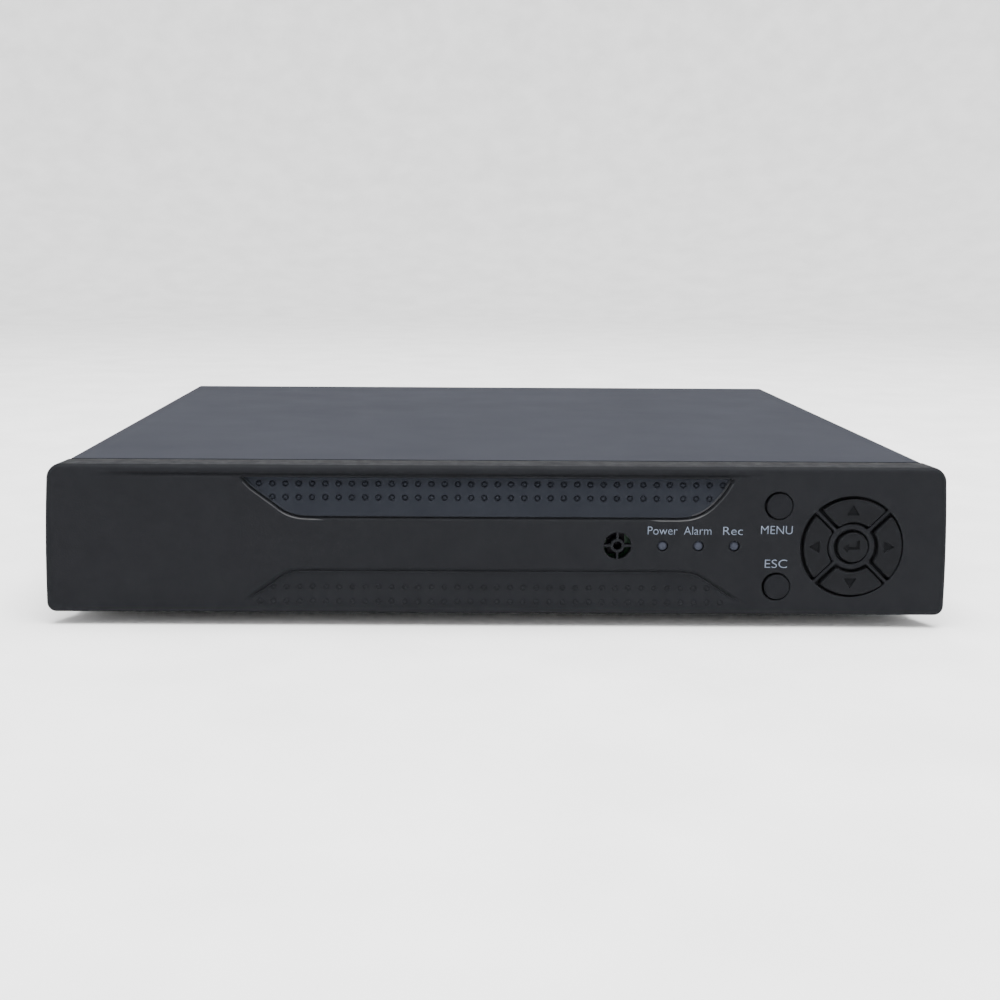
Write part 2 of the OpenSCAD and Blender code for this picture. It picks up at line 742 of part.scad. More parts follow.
module heat_sink() {
    color([0.12, 0.12, 0.13]) translate([cpu_at[0] - sink_w / 2, cpu_at[1] - sink_w / 2, board_top + 2]) {
        cube([sink_w, sink_w, 2]);
        for (i = [0:fin_count - 1]) translate([i * (sink_w - 1.2) / (fin_count - 1), 0, 2 - eps])
            cube([1.2, sink_w, 8]);
    }
}

module board_chips() {
    color([0.09, 0.09, 0.09]) {
        for (i = [0:3]) translate([vga_x - 21, board_front + 18 + i * 13, board_top])
            cube([8, 11, 1.2]);
        for (i = [0, 1]) translate([video_block[0] + 12.2 + i * 26, board_back - 34, board_top])
            cube([14, 14, 1.4]);
        translate([lan_x - 7.5, board_back - 34, board_top]) cube([15, 12, 5.5]);
        translate([board_left + 24, board_front + 20, board_top]) cube([6, 5, 1.5]);
    }
}

module power_parts() {
    color([0.15, 0.16, 0.2]) {
        for (i = [0:2]) translate([board_left + 8 + i * 11, board_back - 42, board_top])
            cube([7, 7, 4]);
        for (i = [0:3]) translate([board_left + 10 + i * 9, board_back - 52, board_top])
            cylinder(r = 3.2, h = 10);
        for (i = [0:2]) translate([video_block[0] + 8.2 + i * 18, board_back - 44, board_top])
            cylinder(r = 2.5, h = 7);
    }
}

battery_at = [lan_x + 2, board_front + 22];
battery_r = 10;
module battery_holder() {
    color([0.12, 0.12, 0.12]) translate([battery_at[0], battery_at[1], board_top]) difference() {
        cylinder(r = 12, h = 5);
        translate([0, 0, 1.4]) cylinder(r = battery_r + screw_gap, h = 5);
        translate([-14, -3, 1.4]) cube([28, 6, 5]);
    }
}
module clock_battery() {
    color("silver") translate([battery_at[0], battery_at[1], board_top + 1.4])
        cylinder(r = battery_r, h = 3.2);
}

module buzzer() {
    color([0.06, 0.06, 0.06]) translate([board_right - 22, board_front + 16, board_top]) difference() {
        cylinder(r = 6, h = 8.5);
        translate([0, 0, 6]) cylinder(r = 1.1, h = 5, $fn = 32);
    }
}

// Headers on the board that take the lead and cable plugs
fan_header_y = board_back - 44;
module board_headers() {
    color([0.8, 0.8, 0.76]) {
        for (x = [data_x, power_lead_x])
            block([x - 4, board_front + 0.5, board_top], [x + 4, board_front + 7, board_top + 5]);
        block([key_header_x - 7.6, board_front + 3, board_top],
              [key_header_x + 7.6, board_front + 9, board_top + 6.4]);
        block([board_left + 0.5, fan_header_y, board_top], [board_left + 6, fan_header_y + 6, board_top + 5]);
    }
}

// ---------------------------------------------------------------- rear sockets

module video_housing() {
    color([0.07, 0.07, 0.08])
        block([video_block[0], rear_wall_y - 13.2, board_top],
              [video_block[1], rear_wall_y - 0.2, video_z[1] + 7]);
}

module each_video_socket() {
    for (x = video_x, z = video_z) translate([x, 0, z]) children();
}

video_back = rear_wall_y - 0.2;
video_tip = panel_y + video_out;
video_bore_r = 4.05;
collar_r = 5.7;
ear_reach = 5.6;
module video_shells() {
    color([0.75, 0.75, 0.74]) each_video_socket() difference() {
        union() {
            bar_y(video_r, video_back, video_tip - video_back);
            bar_y(collar_r, video_back, 3.4);
            for (a = [0, 180]) rotate([0, a, 0]) translate([0, video_tip - video_ear_back, 0])
                cylinder(r = 0.95, h = ear_reach, $fn = 24);
        }
        bar_y(video_bore_r, video_back - 1, video_tip - video_back + 2);
    }
}

module video_insulators() {
    color([0.93, 0.92, 0.88]) each_video_socket() difference() {
        union() {
            bar_y(video_bore_r, video_back, 2);
            bar_y(2.4, video_back + 2 - eps, video_tip - video_back - 3.5);
        }
        bar_y(1.05, video_back - 1, 30, $fn = 32);
    }
}

module audio_housing() {
    color([0.07, 0.07, 0.08])
        block([audio_x - 6, rear_wall_y - 12.2, board_top],
              [audio_x + 6, rear_wall_y - 0.2, audio_z[1] + 6.4]);
}

module audio_shells() {
    color([0.78, 0.78, 0.76]) for (z = audio_z) translate([audio_x, 0, z]) difference() {
        union() {
            bar_y(audio_r + 1, rear_wall_y - 0.2, 2.2);
            bar_y(audio_r, rear_wall_y, audio_out + sheet_t);
        }
        bar_y(1.65, rear_wall_y + 1, 30, $fn = 32);
    }
}

// The outline of the display socket's metal shell: a shield wider at the top
module d_outline(grow) {
    polygon([[-7.6 - grow, -4.1 - grow], [7.6 + grow, -4.1 - grow], [8.4 + grow, -3.1],
             [9 + grow, 3.2], [8.2 + grow, 4.1 + grow], [-8.2 - grow, 4.1 + grow], [-9 - grow, 3.2],
             [-8.4 - grow, -3.1]]);
}

vga_flange_y = rear_wall_y - vga_flange_t;
vga_reach = 6;
module vga_shell() {
    color("silver") translate([vga_x, 0, vga_z]) difference() {
        union() {
            front_to_back(vga_flange_y, vga_flange_t) square([31, 12.6], center = true);
            front_to_back(vga_flange_y, vga_flange_t + sheet_t + vga_reach) d_outline(0);
        }
        front_to_back(vga_flange_y - 1, vga_flange_t + sheet_t + vga_reach + 2) d_outline(-0.5);
        for (s = [-1, 1]) translate([s * vga_pitch / 2, 0, 0])
            bar_y(screw_r + screw_gap, vga_flange_y - 1, vga_flange_t + 2);
    }
}

module vga_insulator() {
    color([0.1, 0.2, 0.6]) translate([vga_x, 0, vga_z]) difference() {
        union() {
            block([-10, vga_flange_y - 10, board_top - vga_z], [10, vga_flange_y, 5.4]);
            front_to_back(vga_flange_y - 1, sheet_t + vga_flange_t + vga_reach) d_outline(-0.6);
        }
        for (row = [-1:1], i = [-2:2]) translate([i * 2.29 + row * 0.55, 0, row * 1.98])
            bar_y(0.5, panel_y + vga_reach - 5, 8, $fn = 24);
    }
}

jack_l = 5;
module vga_jack_screws() {
    color("silver") for (s = [-1, 1]) translate([vga_x + s * vga_pitch / 2, 0, vga_z]) difference() {
        union() {
            bar_y(screw_r, vga_flange_y - 3, panel_y - vga_flange_y + 3 + eps);
            translate([0, panel_y, 0]) rotate([-90, 0, 0]) cylinder(r = 2.8, h = jack_l, $fn = 6);
        }
        bar_y(jack_bore_r, panel_y + 0.8, jack_l + 1);
    }
}

// The outline of the digital display socket: a rectangle with two cut corners below
module hdmi_outline(grow) {
    polygon([[-5.6 - grow, -3 - grow], [5.6 + grow, -3 - grow], [7.4 + grow, -1.2],
             [7.4 + grow, 3 + grow], [-7.4 - grow, 3 + grow], [-7.4 - grow, -1.2]]);
}

module hdmi_socket() {
    color("silver") translate([hdmi_x, 0, hdmi_z]) difference() {
        front_to_back(socket_front - 11.4, 11.4) hdmi_outline(0);
        front_to_back(socket_front - 9, 10) hdmi_outline(-0.5);
    }
}

module usb_socket() {
    color("silver") difference() {
        block([usb_x - usb_box[0] / 2, socket_front - 17, usb_mid - usb_box[1] / 2],
              [usb_x + usb_box[0] / 2, socket_front, usb_mid + usb_box[1] / 2]);
        for (z = usb_z)
            block([usb_x - 6.3, socket_front - 12, z - 2.6], [usb_x + 6.3, socket_front + 1, z + 2.6]);
    }
}

// The contact tongues inside the two serial ports and the digital display socket
module socket_tongues() {
    color([0.1, 0.1, 0.12]) {
        for (z = usb_z)
            block([usb_x - 5.6, socket_front - 12, z + 0.1], [usb_x + 5.6, socket_front - 0.8, z + 2]);
        block([hdmi_x - 5.8, socket_front - 9, hdmi_z - 0.5],
              [hdmi_x + 5.8, socket_front - 1.2, hdmi_z + 0.8]);
    }
}

lan_mouth = [11.8, 8.2];
module lan_socket() {
    color("silver") translate([lan_x, 0, lan_z]) difference() {
        block([-lan_box[0] / 2, socket_front - 21, -lan_box[1] / 2],
              [lan_box[0] / 2, socket_front, lan_box[1] / 2]);
        block([-lan_mouth[0] / 2, socket_front - 14, -3.6],
              [lan_mouth[0] / 2, socket_front + 1, lan_mouth[1] - 3.6]);
        block([-3, socket_front - 14, -5.2], [3, socket_front + 1, -3.5]);
    }
}

// The gold contacts: one tube in each video socket and eight springs in the network socket
module signal_contacts() {
    color("gold") {
        each_video_socket() difference() {
            bar_y(1.05, video_back, video_tip - video_back - 3.4, $fn = 32);
            bar_y(0.7, video_tip - 10, 10, $fn = 24);
        }
        for (i = [0:7]) translate([lan_x + (i - 3.5) * 1.02 - 0.2, 0, lan_z])
            left_to_right(0, 0.4) polygon([[socket_front - 14, 3.2], [socket_front - 5, 4.1],
                [socket_front - 5, 4.45], [socket_front - 14, 3.6]]);
    }
}

module power_inlet() {
    color([0.07, 0.07, 0.08]) translate([power_x, 0, power_z]) {
        difference() {
            block([-power_box[0] / 2, socket_front - 14, -6],
                  [power_box[0] / 2, socket_front, power_box[1] - 6]);
            bar_y(power_mouth_r, socket_front - 9.5, 10.5);
        }
        bar_y(1, socket_front - 9.6, 8.6, $fn = 32);
    }
}

// ---------------------------------------------------------------- hard drive

drive_lid_t = 1;
connector_y = [drive_y + 24, drive_y + 66];
module drive_casting() {
    casting_top = drive_z + drive_h - drive_lid_t;
    color([0.7, 0.71, 0.73]) difference() {
        block([drive_x, drive_y, drive_z], [drive_x + drive_l, drive_y + drive_w, casting_top]);
        block([drive_x + 6, drive_y + 6, drive_z + 9.5],
              [drive_x + drive_l - 14, drive_y + drive_w - 6, casting_top + 1]);
        block([drive_x + drive_l * 0.35, drive_y + 8, drive_z - 1],
              [drive_x + drive_l + 1, drive_y + drive_w - 8, drive_z + 3.2]);
        block([drive_x + drive_l - 6, connector_y[0] - 3, drive_z - 1],
              [drive_x + drive_l + 1, connector_y[1] + 3, drive_z + 8]);
        for (x = drive_screw_x, y = drive_screw_y)
            translate([x, y, drive_z - 1]) cylinder(r = drive_screw_r + screw_gap, h = 6.5);
    }
}

module drive_lid() {
    color([0.8, 0.81, 0.82])
        translate([0, 0, drive_z + drive_h - drive_lid_t]) linear_extrude(drive_lid_t)
            rounded_rect([drive_x + 2, drive_y + 2], [drive_x + drive_l - 8, drive_y + drive_w - 2], 6, 6);
}

module drive_board() {
    color([0.1, 0.3, 0.2]) {
        block([drive_x + drive_l * 0.35 + 1, drive_y + 9, drive_z + 1.6],
              [drive_x + drive_l - 5, drive_y + drive_w - 9, drive_z + 3.2]);
        block([drive_x + drive_l - 5.6, connector_y[0], drive_z + 1.6],
              [drive_x + drive_l, connector_y[1], drive_z + 6.6]);
    }
}

module drive_screws() {
    color("silver") for (x = drive_screw_x, y = drive_screw_y)
        translate([x, y, base_z]) rotate([180, 0, 0]) screw(drive_screw_r, 7, 3.1, 1.8);
}

// A flat cable from the drive to the main board: out of the drive, then back along the case
module drive_cable(y_out, x_run) {
    x0 = drive_x + drive_l;
    path = round_path([[x0 + 12, y_out], [x_run, y_out], [x_run, board_front - 9]], 5);
    block([x0, y_out - 7, drive_z + 1.8], [x0 + 12, y_out + 7, drive_z + 6.4]);
    translate([0, 0, drive_z + 2]) linear_extrude(5.6) band(path, 1.6);
    block([x_run - 3.6, board_front - 9 - eps, drive_z + 2], [x_run + 3.6, board_front + 0.5, board_z - 0.4]);
    block([x_run - 3.6, board_front - 9 - eps, board_z - 0.5],
          [x_run + 3.6, board_front - 0.3, board_top + 4]);
    block([x_run - 3.6, board_front - 1, board_top + 0.4], [x_run + 3.6, board_front + 0.5, board_top + 4]);
}
module drive_data_cable() {
    color([0.7, 0.1, 0.1]) drive_cable(connector_y[1] - 8, data_x);
}
module drive_power_cable() {
    color([0.15, 0.15, 0.15]) drive_cable(connector_y[0] + 8, power_lead_x);
}

// ---------------------------------------------------------------- fan

hub_r = fan_size * 0.225;
fan_bore_r = fan_size / 2 - 1;
blade_r = fan_bore_r - 0.7;
shaft_r = 1;
module fan_frame() {
    color([0.1, 0.1, 0.1]) translate([fan_x, fan_y, fan_z]) {
        difference() {
            front_to_back(0, fan_t)
                rounded_rect([-1, -1] * fan_size / 2, [1, 1] * fan_size / 2, 2.5, 2.5);
            bar_y(fan_bore_r, -1, fan_t + 2);
            for (x = [-1, 1], z = [-1, 1]) translate([x * fan_hole, 0, z * fan_hole])
                bar_y(screw_r + screw_gap, -1, fan_t + 2);
        }
        difference() {
            union() {
                bar_y(hub_r, fan_t - 1.6, 1.6);
                bar_y(3, 3, fan_t - 3);
                for (a = [20:90:290]) rotate([0, a, 0])
                    block([hub_r - 1, fan_t - 1.6, -1], [fan_bore_r + 0.5, fan_t, 1]);
            }
            bar_y(shaft_r + 0.05, 2, fan_t - 4);
        }
    }
}

module fan_rotor() {
    color([0.13, 0.13, 0.13]) translate([fan_x, fan_y, fan_z]) {
        bar_y(hub_r, 0.8, 1.2);
        difference() {
            bar_y(hub_r, 0.8, fan_t - 3.2);
            bar_y(hub_r - 1, 2, fan_t);
        }
        bar_y(shaft_r, 1.5, fan_t - 4.5);
        intersection() {
            difference() {
                bar_y(blade_r, 1, fan_t - 3.6);
                bar_y(hub_r - 0.5, 0, fan_t);
            }
            for (i = [0:6]) rotate([0, i * 360 / 7, 0]) translate([0, fan_t / 2 - 0.8, 0])
                rotate([42, 0, 0]) block([hub_r - 0.8, -fan_t, -0.5], [fan_size / 2, fan_t, 0.5]);
        }
    }
}

module fan_screws() {
    color("silver") for (x = [-1, 1], z = [-1, 1])
        translate([fan_x + x * fan_hole, panel_y, fan_z + z * fan_hole])
            rotate([-90, 0, 0]) screw(screw_r, fan_t, head_r, head_t);
}

// The fan's two-core lead: out of the frame, along the board's edge and into its plug
module fan_lead() {
    lead_x = board_left + 2;
    path = round_path([[fan_x + fan_size / 2, fan_y + 2], [lead_x, fan_y + 2],
                       [lead_x, fan_header_y + 9.9]], 1.8);
    color([0.6, 0.1, 0.1]) {
        translate([0, 0, board_top + 1.6]) linear_extrude(2.2) band(path, 1.1);
        block([board_left + 0.9, fan_header_y + 6, board_top + 0.4],
              [board_left + 5.6, fan_header_y + 10, board_top + 4.6]);
    }
}

// ---------------------------------------------------------------- the assembly

in_frame() front_bezel();
in_frame() top_cover();
in_frame() chassis_tray();
in_frame() cover_screws();
in_frame() rubber_feet();
in_frame() menu_button();
in_frame() esc_button();
in_frame() up_key();
in_frame() down_key();
in_frame() left_key();
in_frame() right_key();
in_frame() enter_key();
in_frame() menu_plunger();
in_frame() esc_plunger();
in_frame() up_plunger();
in_frame() down_plunger();
in_frame() left_plunger();
in_frame() right_plunger();
in_frame() enter_plunger();
in_frame() indicator_lights();
in_frame() remote_receiver();
in_frame() key_board();
in_frame() key_switches();
in_frame() key_board_screws();
in_frame() key_lead();
in_frame() main_board();
in_frame() board_standoffs();
in_frame() board_screws();
in_frame() processor();
in_frame() heat_sink();
in_frame() board_chips();
in_frame() power_parts();
in_frame() battery_holder();
in_frame() clock_battery();
in_frame() buzzer();
in_frame() board_headers();
in_frame() video_housing();
in_frame() video_shells();
in_frame() video_insulators();
in_frame() audio_housing();
in_frame() audio_shells();
in_frame() vga_shell();
in_frame() vga_insulator();
in_frame() vga_jack_screws();
in_frame() hdmi_socket();
in_frame() usb_socket();
in_frame() socket_tongues();
in_frame() lan_socket();
in_frame() signal_contacts();
in_frame() power_inlet();
in_frame() drive_casting();
in_frame() drive_lid();
in_frame() drive_board();
in_frame() drive_screws();
in_frame() drive_data_cable();
in_frame() drive_power_cable();
in_frame() fan_frame();
in_frame() fan_rotor();
in_frame() fan_screws();
in_frame() fan_lead();
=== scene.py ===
"""The looks of a compact digital video recorder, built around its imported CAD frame."""
import json
import math

import bmesh
import bpy
import numpy as np
from mathutils import Matrix, Vector
from mathutils.geometry import delaunay_2d_cdt


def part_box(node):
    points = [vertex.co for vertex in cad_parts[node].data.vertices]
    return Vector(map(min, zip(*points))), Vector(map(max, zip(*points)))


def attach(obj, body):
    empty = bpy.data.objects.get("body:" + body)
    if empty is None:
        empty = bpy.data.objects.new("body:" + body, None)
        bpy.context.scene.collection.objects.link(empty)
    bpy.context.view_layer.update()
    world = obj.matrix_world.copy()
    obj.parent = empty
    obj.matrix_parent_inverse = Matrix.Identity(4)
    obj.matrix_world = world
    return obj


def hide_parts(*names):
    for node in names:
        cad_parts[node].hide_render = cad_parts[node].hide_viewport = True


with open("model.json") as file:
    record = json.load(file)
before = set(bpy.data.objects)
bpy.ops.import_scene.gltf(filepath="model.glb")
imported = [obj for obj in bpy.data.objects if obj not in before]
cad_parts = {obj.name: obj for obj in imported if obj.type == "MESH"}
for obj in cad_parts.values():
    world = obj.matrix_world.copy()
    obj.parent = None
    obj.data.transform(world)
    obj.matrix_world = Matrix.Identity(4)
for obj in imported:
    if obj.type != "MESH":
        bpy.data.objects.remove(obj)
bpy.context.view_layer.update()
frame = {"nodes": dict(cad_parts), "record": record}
NODES = frame["nodes"]
MM = 0.001

# ------------------------------------------------------------------ places taken from the frame

BEZEL_LOW, BEZEL_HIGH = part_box("front_bezel")
FACE_Y = BEZEL_LOW.y
BEZEL_W = round((BEZEL_HIGH.x - BEZEL_LOW.x) / MM)
CASE_H = (BEZEL_HIGH.z - BEZEL_LOW.z) / MM


def to_row(x, y, z):
    """Turns case millimetres into metres: x from the middle, y from the face, z from the bezel's bottom."""
    return Vector((x * MM, FACE_Y + y * MM, BEZEL_LOW.z + z * MM))


def centre_xz(node):
    """The middle of a node, seen from the front, in case millimetres."""
    low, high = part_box(node)
    return ((low.x + high.x) / 2 / MM, ((low.z + high.z) / 2 - BEZEL_LOW.z) / MM)


# ------------------------------------------------------------------ sizes of the front, in millimetres

BEZEL_D = 11.0
BEZEL_WALL = 2.4
TOP_CORNER_R = 4.2
BOTTOM_CORNER_R = 2.8
SIDE_LEAN = 1.5
WIDEST_Z = 5.0
SEAM_W = 260.8
SEAM_CORNER_R = 1.3
TOP_ROLL_R = 1.5
SIDE_ROLL_R = 1.6
BOTTOM_ROLL_R = 1.2
TAPER_FROM = 1.6
BACK_ROLL_R = 0.9
FACE_SINK = 0.04

STRIP_X = -1.77
STRIP_W = 145.0
STRIP_TOP = CASE_H - 3.5
STRIP_H = 11.8
LOW_STRIP_Z = 2.9
LOW_STRIP_H = 10.05
LOW_STRIP_DEPTH = 0.5
STRIP_DEPTH = 1.0
RIM_W = 0.55
RIM_SINK = 0.35
GROOVE_MID = 0.35
GROOVE_W = 1.15
GROOVE_DEPTH = 0.95
# bounds of the painted highlight along the upper strip's edges and its crest
HIGHLIGHT_FROM = 0.88
HIGHLIGHT_CREST_W = 0.38
HIGHLIGHT_MIDDLE_X = -3.0
HIGHLIGHT_BARE_HALF = 50.0
CREST_FROM_X = 58.0
BROW_Z = STRIP_TOP + 0.75
BROW_HALF = 0.55
BROW_DEPTH = 0.8
BROW_ENDS = (-122.0, 80.0)
DOT_PITCH = 3.94
DOT_R = 1.05
DOT_DOME_R = 0.42
DOT_DEPTH = 0.5
LOW_DOT_DEPTH = 0.2
DOT_DOME = 0.3
DOT_ROWS = (2.1, 6.25)
LOW_DOT_ROWS = (0.75, 5.1)
DOT_COUNTS = (36, 34)

KEY_GAP = 0.5
ROUND_KEY_R = 3.775
PAD_R = 15.4
RING_R = 6.9
ENTER_R = 4.75
SPOKE_W = 1.0
PAD_SINK = 0.35
KEY_REACH = 11.0
KEY_LIE = (0.42, -0.2)
EDGE_R = 0.3
KEY_EDGE_R = 0.4
CAP_GAP = 0.74
ROUND_CAP_GAP = 0.45
ROUND_KEY_LIE = (0.3, -0.1)
MARK_DEPTH = 0.4
LIGHT_HOLE_R = 1.6
LIGHT_R = 1.45
LIGHT_SINK = 0.06
LIGHT_DOME = 0.9
GUARD_R = 4.1
GUARD_RING_R = 2.05
GUARD_CENTRE_R = 1.3
GUARD_SPOKE_W = 0.65

PAD = centre_xz("enter_key")
MENU = centre_xz("menu_button")
ESC = centre_xz("esc_button")
RECEIVER = centre_xz("remote_receiver")
LIGHT_PITCH = 10.7
LIGHTS_MID = centre_xz("indicator_lights")
LIGHTS = [(LIGHTS_MID[0] + i * LIGHT_PITCH, PAD[1]) for i in (-1, 0, 1)]


# ------------------------------------------------------------------ materials

class Nodes:
    """A small helper that builds one procedural material around a Principled shader."""

    def __init__(self, name, colour, roughness, metallic=0.0, **sockets):
        self.material = bpy.data.materials.new(name)
        self.material.use_nodes = True
        self.tree = self.material.node_tree
        self.shader = self.tree.nodes["Principled BSDF"]
        self.shader.inputs["Base Color"].default_value = (*colour, 1)
        self.shader.inputs["Roughness"].default_value = roughness
        self.shader.inputs["Metallic"].default_value = metallic
        for socket, value in sockets.items():
            self.shader.inputs[socket.replace("_", " ")].default_value = value
        self.coords = self.tree.nodes.new("ShaderNodeTexCoord").outputs["Object"]

    def noise(self, size_mm, detail=3.0, stretch=(1, 1, 1)):
        """Noise whose features are about size_mm across."""
        mapping = self.tree.nodes.new("ShaderNodeMapping")
        mapping.inputs["Scale"].default_value = stretch
        self.tree.links.new(self.coords, mapping.inputs["Vector"])
        node = self.tree.nodes.new("ShaderNodeTexNoise")
        node.inputs["Scale"].default_value = 1 / (size_mm * MM)
        node.inputs["Detail"].default_value = detail
        self.tree.links.new(mapping.outputs["Vector"], node.inputs["Vector"])
        return node.outputs["Fac"]

    def cells(self, size_mm):
        """Rounded cells about size_mm across, for a moulded grain."""
        node = self.tree.nodes.new("ShaderNodeTexVoronoi")
        node.feature = "SMOOTH_F1"
        node.inputs["Scale"].default_value = 1 / (size_mm * MM)
        self.tree.links.new(self.coords, node.inputs["Vector"])
        return node.outputs["Distance"]

    def ramp(self, value, stops):
        """Turns a value into a colour or grey through (place, colour) stops."""
        node = self.tree.nodes.new("ShaderNodeValToRGB")
        for i, (place, colour) in enumerate(stops):
            element = node.color_ramp.elements[i] if i < 2 else node.color_ramp.elements.new(place)
            element.position = place
            element.color = (*colour, 1) if isinstance(colour, tuple) else (colour, colour, colour, 1)
        self.tree.links.new(value, node.inputs["Fac"])
        return node.outputs["Color"]

    def set(self, socket, value):
        self.tree.links.new(value, self.shader.inputs[socket])

    def bump(self, height, depth_mm, strength=1.0):
        """Adds a bump; several calls stack on each other."""
        node = self.tree.nodes.new("ShaderNodeBump")
        node.inputs["Strength"].default_value = strength
        node.inputs["Distance"].default_value = depth_mm * MM
        self.tree.links.new(height, node.inputs["Height"])
        if self.shader.inputs["Normal"].is_linked:
            self.tree.links.new(self.shader.inputs["Normal"].links[0].from_socket, node.inputs["Normal"])
        self.tree.links.new(node.outputs["Normal"], self.shader.inputs["Normal"])


def shade(colour, factor):
    return tuple(min(1.0, c * factor) for c in colour)


def moulded(name, colour, roughness, grain_mm=0.7, depth_mm=0.05, spread=0.18, **sockets):
    """Injection-moulded plastic: a fine grain, faint mottling and uneven gloss."""
    m = Nodes(name, colour, roughness, **sockets)
    stops = [(0.3, shade(colour, 1 - spread)), (0.7, shade(colour, 1 + spread))]
    m.set("Base Color", m.ramp(m.noise(9, 4), stops))
    m.set("Roughness", m.ramp(m.noise(3, 3), [(0.3, roughness - 0.06), (0.7, roughness + 0.06)]))
    m.bump(m.cells(grain_mm), depth_mm)
    return m.material


def painted(name, colour, roughness, **sockets):
    """Satin paint on folded steel: slight orange peel and faint dust marks."""
    m = Nodes(name, colour, roughness, **sockets)
    m.set("Base Color", m.ramp(m.noise(45, 3), [(0.3, shade(colour, 0.95)), (0.7, shade(colour, 1.05))]))
    m.set("Roughness", m.ramp(m.noise(18, 5), [(0.3, roughness - 0.02), (0.7, roughness + 0.03)]))
    m.bump(m.noise(1.1, 2), 0.012)
    return m.material


def metal(name, colour, roughness, brushed=(1, 1, 1)):
    """Bare or plated metal with fine handling marks."""
    m = Nodes(name, colour, roughness, metallic=1.0)
    m.set("Base Color", m.ramp(m.noise(4, 4), [(0.3, shade(colour, 0.88)), (0.7, shade(colour, 1.06))]))
    m.set("Roughness", m.ramp(m.noise(1.2, 4, brushed), [(0.3, roughness - 0.05), (0.7, roughness + 0.1)]))
    m.bump(m.noise(0.5, 3, brushed), 0.006)
    return m.material


def circuit_board(name, colour):
    """Solder mask over copper: lighter tracks run under the green."""
    m = Nodes(name, colour, 0.32)
    tracks = m.ramp(m.noise(2.6, 1, (1, 0.25, 1)), [(0.47, shade(colour, 0.75)), (0.5, shade(colour, 1.7)),
                                                    (0.56, shade(colour, 1.0))])
    m.set("Base Color", tracks)
    m.set("Roughness", m.ramp(m.noise(6, 3), [(0.3, 0.26), (0.7, 0.4)]))
    m.bump(m.noise(1.3, 1), 0.03)
    return m.material


